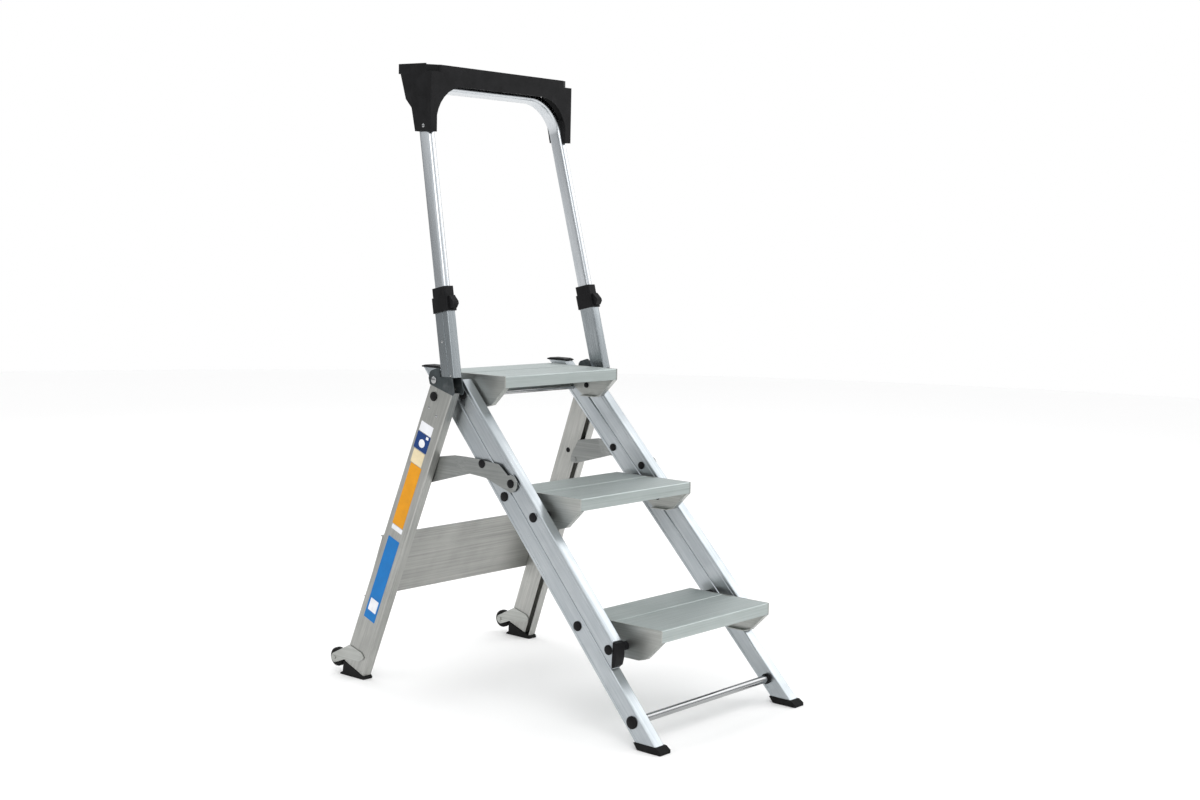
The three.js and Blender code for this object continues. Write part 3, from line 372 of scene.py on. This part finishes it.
def printed_label(name, tone):
    """Glossy film label: one tone with slight print mottle and rubbed patches."""
    material, tree, shader = blank_material(name)
    place = object_vector(tree)
    grain = place_group(tree, "grain", place, Size=2200.0)
    marked = place_group(tree, "marks", place, Size=60, Amount=0.35)
    body = mix_colours(tree, grain.outputs["Shade"], tone, tuple(min(1, 1.12 * c) for c in tone))
    rubbed = tuple(0.8 * c + 0.02 for c in tone)
    tree.links.new(mix_colours(tree, marked.outputs["Mask"], body, rubbed), shader.inputs["Base Color"])
    tree.links.new(maths(tree, "ADD", maths(tree, "MULTIPLY", marked.outputs["Mask"], 0.25), 0.42),
                   shader.inputs["Roughness"])
    shader.inputs["Specular IOR Level"].default_value = 0.25
    bump(tree, shader, grain.outputs["Height"], 0.04, 0.0001)
    return material


def finish_named(name):
    """The material of that name, made when it is first asked for."""
    ready = bpy.data.materials.get(name)
    if ready:
        return ready
    c = colours()
    makers = {
        "rail satin": lambda n: drawn_metal(n, c.rail_dark, c.rail_light, RAIL_SLOPE),
        "post satin": lambda n: drawn_metal(n, c.post_dark, c.post_light, POST_SLOPE, rough=(0.2, 0.34)),
        "hoop satin": lambda n: drawn_metal(
            n, c.hoop_dark, c.hoop_light, POST_SLOPE, rough=(0.2, 0.28), density=0.8, marks=0.1),
        "link satin": lambda n: drawn_metal(
            n, c.link_dark, c.link_light, rough=(0.36, 0.5), density=1.5),
        "leg satin": lambda n: drawn_metal(n, c.leg_dark, c.leg_light, LEG_SLOPE, rough=(0.36, 0.5)),
        "panel satin": lambda n: drawn_metal(n, c.leg_dark, c.leg_light, 0, 90, rough=(0.4, 0.55)),
        "plate satin": lambda n: drawn_metal(
            n, c.plate_dark, c.plate_light, rough=(0.36, 0.5), density=1.5),
        "tread ribs": ribbed_tread,
        "bright steel": lambda n: drawn_metal(
            n, tuple(0.8 * v for v in c.bright), c.bright, turn=90, rough=(0.12, 0.2)),
        "slate coating": coated_plate,
        "black plastic": lambda n: moulded(n, c.black),
        "black rubber": lambda n: moulded(n, c.rubber, 0.7, 700.0, 1.6),
        "label blue": lambda n: printed_label(n, c.blue),
        "label navy": lambda n: printed_label(n, c.navy),
        "label amber": lambda n: printed_label(n, c.amber),
        "label white": lambda n: printed_label(n, c.paper),
        "label cream": lambda n: printed_label(n, c.cream),
    }
    return makers[name](name)


# ---- mesh helpers ----------------------------------------------------------------------------
def new_piece(name, mesh_data, finish, body, smooth_degrees=35):
    """An object from bmesh data, shaded, finished and riding on its body."""
    bmesh.ops.recalc_face_normals(mesh_data, faces=mesh_data.faces)
    mesh = bpy.data.meshes.new(name)
    mesh_data.to_mesh(mesh)
    mesh_data.free()
    mesh.shade_smooth()
    mesh.set_sharp_from_angle(angle=math.radians(smooth_degrees))
    piece = bpy.data.objects.new(name, mesh)
    bpy.context.scene.collection.objects.link(piece)
    mesh.materials.append(finish_named(finish))
    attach(piece, body)
    return piece


def turned(outline, centre, facets=None):
    """Mesh data turned about an axis along x; outline is (radius, x) from one end to the other."""
    data = bmesh.new()
    count = facets or sizes().facets
    rings = []
    for radius, x in outline:
        turns = 1 if radius < 1e-7 else count
        angles = [2 * math.pi * i / count for i in range(turns)]
        rings.append([data.verts.new((x, centre[0] + radius * math.cos(a), centre[1] + radius * math.sin(a)))
                      for a in angles])
    for ring, after in zip(rings, rings[1:]):
        for i in range(count):
            j = (i + 1) % count
            corners = [ring[i % len(ring)], ring[j % len(ring)], after[j % len(after)], after[i % len(after)]]
            face = list(dict.fromkeys(corners))
            if len(face) > 2:
                data.faces.new(face)
    return data


def plate(outline, depth_at):
    """Mesh data of a thin plate: outline in (y, z), and depth_at(y, z) gives its two x values."""
    data = bmesh.new()
    near = [data.verts.new((depth_at(y, z)[0], y, z)) for y, z in outline]
    far = [data.verts.new((depth_at(y, z)[1], y, z)) for y, z in outline]
    data.faces.new(near)
    data.faces.new(list(reversed(far)))
    for i in range(len(outline)):
        j = (i + 1) % len(outline)
        data.faces.new((near[i], far[i], far[j], near[j]))
    return data


def swept(section, path, frames):
    """Mesh data of a closed section, in metres, carried along a path and closed at both ends."""
    data = bmesh.new()
    rings = [[data.verts.new(point + a * out + b * across) for a, b in section]
             for point, (out, across) in zip(path, frames)]
    for ring, after in zip(rings, rings[1:]):
        for i in range(len(section)):
            j = (i + 1) % len(section)
            data.faces.new((ring[i], ring[j], after[j], after[i]))
    data.faces.new(rings[0])
    data.faces.new(list(reversed(rings[-1])))
    return data


def rounded_rectangle(x0, x1, y0, y1, radius, steps=4):
    corners = ((x1 - radius, y1 - radius), (x0 + radius, y1 - radius),
               (x0 + radius, y0 + radius), (x1 - radius, y0 + radius))
    points = []
    for quarter, (x, y) in enumerate(corners):
        for i in range(steps + 1):
            angle = (quarter + i / steps) * math.pi / 2
            points.append((x + radius * math.cos(angle), y + radius * math.sin(angle)))
    return points


def domed(radius, height, x, side):
    """Outline from the rim of a domed head to its crown, growing outwards from x."""
    bulge = ((1, 0), (1, 0.25), (0.95, 0.42), (0.85, 0.62), (0.68, 0.8), (0.45, 0.93), (0.2, 0.99), (0, 1))
    return [(radius * r, x + side * height * h) for r, h in bulge]


def leg_point(ahead, up):
    """(y, z) of a point on the rear leg, from the pivot it folds about."""
    pivot = PIVOTS["rear_fold"]
    return (pivot.y - up * math.sin(LEG_LEAN) - ahead * math.cos(LEG_LEAN),
            pivot.z + up * math.cos(LEG_LEAN) - ahead * math.sin(LEG_LEAN))


def spread_at(x, z):
    return x + SPREAD * (SPREAD_LEVEL - z)


# ---- operators -------------------------------------------------------------------------------
CARRIED_OVER = {
    "rail satin": ("main_rail", "front_rail"),
    "post satin": ("post_profile",),
    "leg satin": ("rear_leg",),
    "link satin": ("link_plate",),
    "plate satin": ("wheel_bracket", *(f"{step}_bracket" for step in STEPS)),
    "slate coating": ("hinge_plate_inner", "hinge_plate_outer"),
    "black plastic": ("front_rail_plug", "rail_top_cap", "collar"),
    "black rubber": ("front_foot", "rear_foot"),
}
MIDDLE_NODES = {"brace_panel": "panel satin", "tool_tray": "black plastic",
                **{f"{step}_tread": "tread ribs" for step in STEPS}}


class STOOL_OT_frame_finish(Operator):
    """Gives every carried-over frame piece its finish and rounds its cut edges"""
    bl_idname = "stool.frame_finish"
    bl_label = "Finish the frame"

    def execute(self, context):
        finishes = dict(MIDDLE_NODES)
        for finish, stems in CARRIED_OVER.items():
            finishes.update({f"{stem}_{side}": finish for stem in stems for side in SIDES})
        for node, finish in finishes.items():
            self.dress(frame["nodes"][node], finish)
        return {"FINISHED"}

    def dress(self, piece, finish):
        for slot in piece.material_slots:
            slot.link = "OBJECT"
            slot.material = finish_named(finish)
        weld = piece.modifiers.new("Close seams", "WELD")
        weld.merge_threshold = 0.00001
        round_edges = piece.modifiers.new("Round edges", "BEVEL")
        moulded_piece = finish.startswith("black")
        round_edges.width = sizes().moulded_edge if moulded_piece else sizes().soft_edge
        round_edges.segments = 3 if moulded_piece else 2
        round_edges.limit_method = "ANGLE"
        round_edges.angle_limit = math.radians(32)
        even = piece.modifiers.new("Even shading", "WEIGHTED_NORMAL")
        even.weight = 80


class STOOL_OT_hoop(Operator):
    """Bends the handrail's oval tube up one post, over the top and down the other"""
    bl_idname = "stool.hoop"
    bl_label = "Handrail hoop"

    def execute(self, context):
        path, frames = self.middle_line()
        wide, thick = sizes().tube_wide / 2, sizes().tube_thick / 2
        section = rounded_rectangle(-thick, thick, -wide, wide, 0.0075, 6)
        tube = swept(section, path, frames)
        piece = new_piece("handrail_tube", tube, "hoop satin", "handrail")
        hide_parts("handrail_hoop")
        return {"FINISHED"}

    def middle_line(self):
        taper, post_middle, foot = math.atan(0.06), 0.04, 0.1
        bend, top = sizes().bend, sizes().hoop_reach - sizes().bend
        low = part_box("handrail_hoop")[0]
        pivot = PIVOTS["handrail_fold"]
        half_foot = spread_at(LEG_OUTER, pivot.z) + 0.0014 - 0.0125
        start = top + bend * math.sin(taper)
        centre = half_foot - 0.06 * start - bend * math.cos(taper)
        flat = [(half_foot - 0.06 * foot, foot, taper)]
        for i in range(29):
            angle = taper + (math.pi / 2 - taper) * i / 28
            flat.append((centre + bend * math.cos(angle), top + bend * math.sin(angle), angle))
        flat += [(-x, z, math.pi - angle) for x, z, angle in reversed(flat)]
        lean = Matrix.Rotation(-HANDRAIL_LEAN, 3, "X")
        path = [lean @ Vector((x, -post_middle, z)) + Vector((0, pivot.y, pivot.z)) for x, z, _ in flat]
        across = lean @ Vector((0, 1, 0))
        frames = [(lean @ Vector((math.cos(a), 0, math.sin(a))), across) for _, _, a in flat]
        if low.z > path[0].z + 0.02:
            raise RuntimeError("the hoop's foot lies under the frame's own hoop")
        return path, frames


class STOOL_OT_pivot_pins(Operator):
    """Turns the pivot pins with their spacers, domed caps and inner nuts"""
    bl_idname = "stool.pivot_pins"
    bl_label = "Pivot pins"

    def execute(self, context):
        for side in SIDES:
            for step in STEPS:
                for kind in ("rail", "front"):
                    self.tread_pin(f"{step}_{kind}_pin_{side}", side, step)
            for kind in ("rail", "front"):
                self.link_pin(f"link_{kind}_pin_{side}", side)
            self.handrail_pin(f"handrail_pin_{side}", side)
        return {"FINISHED"}

    def place(self, node, side):
        low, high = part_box(node)
        inner, outer = (low.x, high.x) if side == "right" else (-high.x, -low.x)
        return inner, outer, ((low.y + high.y) / 2, (low.z + high.z) / 2)

    def turn(self, node, side, outline, centre, finish, body, slot):
        mirrored = [(r, SIDES[side] * x) for r, x in outline]
        piece = new_piece(f"{node}_turned", turned(mirrored, centre), finish, body)
        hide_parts(node)

    def tread_pin(self, node, side, body):
        inner, outer, centre = self.place(node, side)
        cap = outer - 0.003
        spacer_end = cap - 0.0306
        outline = [(0, inner), (0.004, inner), (0.0062, inner + 0.0006), (0.0065, inner + 0.0012),
                   (0.0065, inner + 0.0022), (0.005, inner + 0.0022), (0.005, 0.1908), (0.0084, 0.1908),
                   (0.009, 0.1914), (0.009, spacer_end - 0.0006), (0.0084, spacer_end), (0.005, spacer_end),
                   (0.005, cap), *domed(0.0105, 0.003, cap, 1)]
        self.turn(node, side, outline, centre, "black plastic", body, "black_plastic")

    def link_pin(self, node, side):
        inner, outer, centre = self.place(node, side)
        rail = inner + 0.003
        nut = list(reversed(domed(0.009, 0.003, rail, -1)))
        plate_face = outer - 0.0024
        outline = [*nut, (0.005, rail), (0.005, rail + 0.0306), (0.0086, rail + 0.0306),
                   (0.009, rail + 0.031), (0.009, 0.2369), (0.005, 0.2369), (0.005, plate_face),
                   *domed(0.0095, 0.0024, plate_face, 1)]
        self.turn(node, side, outline, centre, "black plastic", "links", "black_plastic")

    def handrail_pin(self, node, side):
        inner, outer, centre = self.place(node, side)
        head = outer - 0.003
        outline = [(0, inner), (0.0065, inner), (0.0078, inner + 0.0006), (0.0078, inner + 0.002),
                   (0.005, inner + 0.002), (0.005, head), *domed(0.0078, 0.003, head, 1)]
        self.turn(node, side, outline, centre, "bright steel", "rear_frame", "bright_steel")


class STOOL_OT_cross_bars(Operator):
    """Turns the two bright cross bars and their black end caps"""
    bl_idname = "stool.cross_bars"
    bl_label = "Cross bars"

    def execute(self, context):
        for name, cap_radius in (("cross_bar_lower", 0.0133), ("cross_bar_upper", 0.0105)):
            low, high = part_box(name)
            centre = ((low.y + high.y) / 2, (low.z + high.z) / 2)
            self.bar(name, centre, high.x, cap_radius)
        return {"FINISHED"}

    def bar(self, name, centre, end, cap_radius):
        radius = 0.0085
        cap = end - (0.006 if cap_radius > 0.012 else 0.0035)
        rail = spread_at(RAIL_INNER, centre[1]) - 0.0008
        body = [(radius, -cap), (radius, -rail), (radius, rail), (radius, cap)]
        bar = new_piece(f"{name}_bright", turned([(0, -cap), *body, (0, cap)], centre), "bright steel",
                        "main_frame")
        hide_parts(name)
        for side, sign in SIDES.items():
            outline = [(0, sign * cap), *domed(cap_radius, end - cap, sign * cap, sign)]
            new_piece(f"{name}_cap_{side}", turned(outline, centre), "black plastic", "main_frame")
            if cap_radius > 0.012:
                sleeve = [(radius, rail - 0.006), (0.0112, rail - 0.006), (0.0115, rail - 0.0055),
                          (0.0115, rail), (radius, rail)]
            else:
                first = spread_at(RAIL_OUTER, centre[1]) + 0.0008
                last = spread_at(LEG_INNER, centre[1]) - 0.0008
                sleeve = [(radius, first), (0.0116, first), (0.012, first + 0.0005), (0.012, last),
                          (radius, last)]
            ring = turned([(r, sign * x) for r, x in [*sleeve, sleeve[0]]], centre)
            new_piece(f"{name}_sleeve_{side}", ring, "black plastic", "main_frame")


class STOOL_OT_castors(Operator):
    """Turns each castor's tyre and its black hub"""
    bl_idname = "stool.castors"
    bl_label = "Castors"

    def execute(self, context):
        for side in SIDES:
            node = f"wheel_{side}"
            low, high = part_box(node)
            centre = ((low.y + high.y) / 2, (low.z + high.z) / 2)
            middle, half = (low.x + high.x) / 2, (high.x - low.x) / 2
            self.wheel(node, side, centre, middle, half)
        return {"FINISHED"}

    def wheel(self, node, side, centre, middle, half):
        tread = [(0.0145, -1), (0.0152, -1), (0.0168, -0.9), (0.0195, -0.82), (0.0212, -0.66), (0.022, -0.4),
                 (0.022, -0.12), (0.0214, -0.08), (0.0214, 0.08), (0.022, 0.12), (0.022, 0.4), (0.0212, 0.66),
                 (0.0195, 0.82), (0.0168, 0.9), (0.0152, 1), (0.0145, 1), (0.0145, -1)]
        outline = [(radius, middle + half * x) for radius, x in tread]
        tyre = new_piece(f"castor_tyre_{side}", turned(outline, centre, 56), "black rubber", node)
        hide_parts(node)
        hub = [(0.0044, -0.92), (0.0075, -0.92), (0.0085, -0.75), (0.0125, -0.7), (0.0143, -0.86),
               (0.0143, 0.86), (0.0125, 0.7), (0.0085, 0.75), (0.0075, 0.92), (0.0044, 0.92),
               (0.0044, -0.92)]
        outline = [(radius, middle + half * x) for radius, x in hub]
        new_piece(f"castor_hub_{side}", turned(outline, centre, 56), "black plastic", node)


class STOOL_OT_rivets(Operator):
    """Sets the small rivets on the rear legs and the posts"""
    bl_idname = "stool.rivets"
    bl_label = "Rivets"

    def execute(self, context):
        for side in SIDES:
            for number, (ahead, up, radius) in enumerate(((-4, -29, 0.0032), (25, -36, 0.0032))):
                y, z = leg_point(ahead / 1000, up / 1000)
                face = spread_at(LEG_OUTER, z)
                self.rivet(f"leg_rivet_{number}_{side}", side, (y, z), face, radius, "rear_frame")
            for number, (y, w, radius) in enumerate(((-0.050, 0.001, 0.0028), (-0.034, 0.079, 0.0028))):
                self.hinge_rivet(f"hinge_rivet_{number}_{side}", side, y, w, radius)
        return {"FINISHED"}

    def rivet(self, name, side, centre, x, radius, body):
        sign = SIDES[side]
        outline = [(0, sign * x), *domed(radius, 0.0011, sign * x, sign)]
        new_piece(name, turned(outline, centre, 24), "bright steel", body)

    def hinge_rivet(self, name, side, y, w, radius):
        pivot = PIVOTS["handrail_fold"]
        turn = Matrix.Rotation(-HANDRAIL_LEAN, 3, "X")
        place = turn @ Vector((0, y, w))
        face = spread_at(LEG_OUTER, pivot.z) + POST_ASIDE - HANDRAIL_TAPER * w
        self.rivet(name, side, (pivot.y + place.y, pivot.z + place.z), face, radius, "handrail")


class STOOL_OT_leg_fittings(Operator):
    """Adds the round plug on top of each rear leg and the bolt inside it"""
    bl_idname = "stool.leg_fittings"
    bl_label = "Rear leg fittings"

    def execute(self, context):
        for side, sign in SIDES.items():
            self.plug(side, sign)
            y, z = leg_point(0.0076, -0.1744)
            x = spread_at(LEG_INNER, z)
            ring = [(0, x + 0.001), (0.0062, x + 0.001), (0.0062, x - 0.0003), (0.0056, x - 0.0008),
                    (0.0042, x - 0.0009), (0.0038, x - 0.0005), (0, x - 0.0005)]
            data = turned([(r, sign * v) for r, v in ring], (y, z), 32)
            new_piece(f"stop_bolt_{side}", data, "black plastic", "rear_frame")
        return {"FINISHED"}

    def plug(self, side, sign):
        centre_ahead, centre_up, radius = -0.010, 0.0353, 0.0118
        outline = []
        for i in range(19):
            angle = math.radians(-12 + 204 * i / 18)
            ahead = centre_ahead - radius * math.cos(angle)
            outline.append(leg_point(ahead, centre_up + radius * math.sin(angle)))
        outline += [leg_point(0.0015, 0.02), leg_point(-0.0195, 0.02)][::-1]

        def depth(y, z):
            return (sign * (spread_at(LEG_INNER, z) + 0.0024), sign * (spread_at(LEG_OUTER, z) - 0.0024))

        new_piece(f"leg_plug_{side}", plate(outline, depth), "black plastic", "rear_frame")


# Blank labels down the left rear leg: name, finish, front and rear edge, top and bottom, in metres.
LABELS = (
    ("label_top", "label white", -0.013, 0.028, -0.064, -0.087),
    ("label_dark", "label navy", -0.014, 0.029, -0.0885, -0.1285),
    ("label_cream", "label cream", -0.010, 0.027, -0.1305, -0.1625),
    ("label_long", "label amber", -0.0065, 0.030, -0.164, -0.316),
    ("label_strip", "label white", -0.0045, 0.031, -0.3175, -0.3285),
    ("label_blue", "label blue", -0.005, 0.033, -0.348, -0.5575),
)


class STOOL_OT_labels(Operator):
    """Sticks plain blank labels on the outer face of one rear leg"""
    bl_idname = "stool.labels"
    bl_label = "Blank labels"

    def execute(self, context):
        for name, finish, rear, front, top, bottom in LABELS:
            self.label(name, finish, rounded_rectangle(rear, front, bottom, top, 0.0015), 0)
        disc = [(0.008 + 0.0095 * math.cos(i * math.pi / 16), -0.1115 + 0.0095 * math.sin(i * math.pi / 16))
                for i in range(32)]
        self.label("label_dark_disc", "label white", disc, 1)
        dark_patch = rounded_rectangle(0.0155, 0.0235, -0.0975, -0.091, 0.001)
        self.label("label_dark_patch", "label white", dark_patch, 1)
        blue_patch = rounded_rectangle(0.001, 0.028, -0.536, -0.506, 0.0015)
        self.label("label_blue_patch", "label white", blue_patch, 1)
        return {"FINISHED"}

    def label(self, name, finish, outline, layer):
        thick = sizes().label_thick

        def depth(y, z):
            face = -spread_at(LEG_OUTER, z) - layer * thick
            return (face + 0.0001, face - thick)

        points = [leg_point(ahead, up) for ahead, up in outline]
        new_piece(name, plate(points, depth), finish, "rear_frame")


class STOOL_OT_tray_fittings(Operator):
    """Adds the screws on the tray's ends and the low dividers inside it"""
    bl_idname = "stool.tray_fittings"
    bl_label = "Tray fittings"

    def execute(self, context):
        low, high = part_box("tool_tray")
        for side, sign in SIDES.items():
            outline = [(0, sign * high.x), *domed(0.0042, 0.0012, sign * high.x, sign)]
            centre = (low.y + 0.024, low.z + 0.013)
            new_piece(f"tray_screw_{side}", turned(outline, centre, 24), "bright steel", "handrail")
        floor = PIVOTS["handrail_fold"].z + 0.6785
        for number, x in enumerate((-0.078, 0.078)):
            outline = [(low.y + 0.004, floor - 0.0004), (low.y + 0.004, floor + 0.008),
                       (low.y + 0.012, floor + 0.011), (high.y - 0.016, floor + 0.011),
                       (high.y - 0.006, floor + 0.008), (high.y - 0.006, floor - 0.0004)]
            data = plate(outline, lambda y, z, x=x: (x - 0.001, x + 0.001))
            new_piece(f"tray_divider_{number}", data, "black plastic", "handrail")
        return {"FINISHED"}


class STOOL_OT_stage(Operator):
    """Lays the pale floor, hangs the soft lights and sets the camera"""
    bl_idname = "stool.stage"
    bl_label = "Stage"

    def execute(self, context):
        self.floor()
        self.surroundings()
        self.lamp("key_lamp", (-2.4, -3.4, 3.6), 3.2, context.scene.stool_stage.key_power)
        self.lamp("side_lamp", (3.4, -1.6, 2.8), 2.6, context.scene.stool_stage.key_power * 0.5)
        self.lamp("back_lamp", (0.6, 3.2, 3.4), 2.6, context.scene.stool_stage.key_power * 0.6)
        self.camera()
        return {"FINISHED"}

    def floor(self):
        data = bmesh.new()
        bmesh.ops.create_circle(data, cap_ends=True, radius=9, segments=96)
        mesh = bpy.data.meshes.new("floor")
        data.to_mesh(mesh)
        data.free()
        floor = bpy.data.objects.new("floor", mesh)
        bpy.context.scene.collection.objects.link(floor)
        material, tree, shader = blank_material("pale floor")
        tone = bpy.context.scene.stool_stage.floor_tone
        shader.inputs["Base Color"].default_value = (*tone, 1)
        shader.inputs["Roughness"].default_value = 0.75
        shader.inputs["Specular IOR Level"].default_value = 0.2
        mesh.materials.append(material)

    def surroundings(self):
        world = bpy.data.worlds.new("surroundings")
        world.use_nodes = True
        tree = world.node_tree
        back = tree.nodes["Background"]
        place = tree.nodes.new("ShaderNodeTexCoord").outputs["Generated"]
        split = tree.nodes.new("ShaderNodeSeparateXYZ")
        tree.links.new(place, split.inputs[0])
        ramp = tree.nodes.new("ShaderNodeValToRGB")
        stops = ((0.0, 0.95), (0.465, 0.95), (0.485, 0.3), (0.54, 0.25), (0.585, 1.0), (0.75, 0.85),
                 (1.0, 1.0))
        while len(ramp.color_ramp.elements) < len(stops):
            ramp.color_ramp.elements.new(0.5)
        for element, (position, tone) in zip(ramp.color_ramp.elements, stops):
            element.position = position
            element.color = (tone * 0.985, tone, tone * 1.01, 1)
        height = spread_range(tree, split.outputs["Z"], -1, 1)
        tree.links.new(height, ramp.inputs["Fac"])
        mirrored = tree.nodes.new("ShaderNodeLightPath").outputs["Is Glossy Ray"]
        sky = mix_colours(tree, mirrored, (1.0, 1.0, 1.0), ramp.outputs["Color"])
        tree.links.new(sky, back.inputs["Color"])
        back.inputs["Strength"].default_value = 1.0
        bpy.context.scene.world = world
        bpy.context.scene.view_settings.view_transform = "Standard"

    def lamp(self, name, place, size, power):
        light = bpy.data.lights.new(name, "AREA")
        light.shape = "DISK"
        light.size = size
        light.energy = power
        lamp = bpy.data.objects.new(name, light)
        bpy.context.scene.collection.objects.link(lamp)
        lamp.location = place
        lamp.rotation_euler = (Vector((0, 0, 0.6)) - Vector(place)).to_track_quat("-Z", "Y").to_euler()

    def camera(self):
        azimuth, elevation, roll = (math.radians(v) for v in (-49.573, 5.524, 1.242))
        back = Vector((math.sin(azimuth) * math.cos(elevation), -math.cos(azimuth) * math.cos(elevation),
                       math.sin(elevation)))
        right = Vector((math.cos(azimuth), math.sin(azimuth), 0))
        up = right.cross(-back)
        turned_right = right * math.cos(roll) + up * math.sin(roll)
        turned_up = up * math.cos(roll) - right * math.sin(roll)
        data = bpy.data.cameras.new("camera")
        data.sensor_width = 36
        data.lens = bpy.context.scene.stool_stage.lens
        data.clip_end = 100
        camera = bpy.data.objects.new("camera", data)
        bpy.context.scene.collection.objects.link(camera)
        turn = Matrix((turned_right, turned_up, back)).transposed().to_4x4()
        camera.matrix_world = Matrix.Translation((-2.76686, PIVOTS["rear_fold"].y - 2.61366, 1.0178)) @ turn
        bpy.context.scene.camera = camera


OPERATORS = (
    STOOL_OT_stage, STOOL_OT_frame_finish, STOOL_OT_hoop, STOOL_OT_pivot_pins, STOOL_OT_cross_bars,
    STOOL_OT_castors, STOOL_OT_rivets, STOOL_OT_leg_fittings, STOOL_OT_labels, STOOL_OT_tray_fittings,
)


class STOOL_PT_sidebar(Panel):
    bl_idname = "STOOL_PT_sidebar"
    bl_label = "Folding step stool"
    bl_space_type = "VIEW_3D"
    bl_region_type = "UI"
    bl_category = "Stool"

    def draw(self, context):
        for group in (context.scene.stool_sizes, context.scene.stool_colours, context.scene.stool_stage):
            box = self.layout.box()
            for name in group.__annotations__:
                box.prop(group, name)
        for operator in OPERATORS:
            self.layout.operator(operator.bl_idname)


GROUPS = {"stool_sizes": StoolSizes, "stool_colours": StoolColours, "stool_stage": StoolStage}


def register():
    for cls in (*GROUPS.values(), *OPERATORS, STOOL_PT_sidebar):
        bpy.utils.register_class(cls)
    for name, group in GROUPS.items():
        setattr(bpy.types.Scene, name, PointerProperty(type=group))


def unregister():
    for name in GROUPS:
        delattr(bpy.types.Scene, name)
    for cls in reversed((*GROUPS.values(), *OPERATORS, STOOL_PT_sidebar)):
        bpy.utils.unregister_class(cls)


def main():
    register()
    for operator in OPERATORS:
        area, name = operator.bl_idname.split(".")
        if getattr(getattr(bpy.ops, area), name)() != {"FINISHED"}:
            raise RuntimeError(f"{operator.bl_label} didn't finish")


if __name__ == "__main__":
    main()
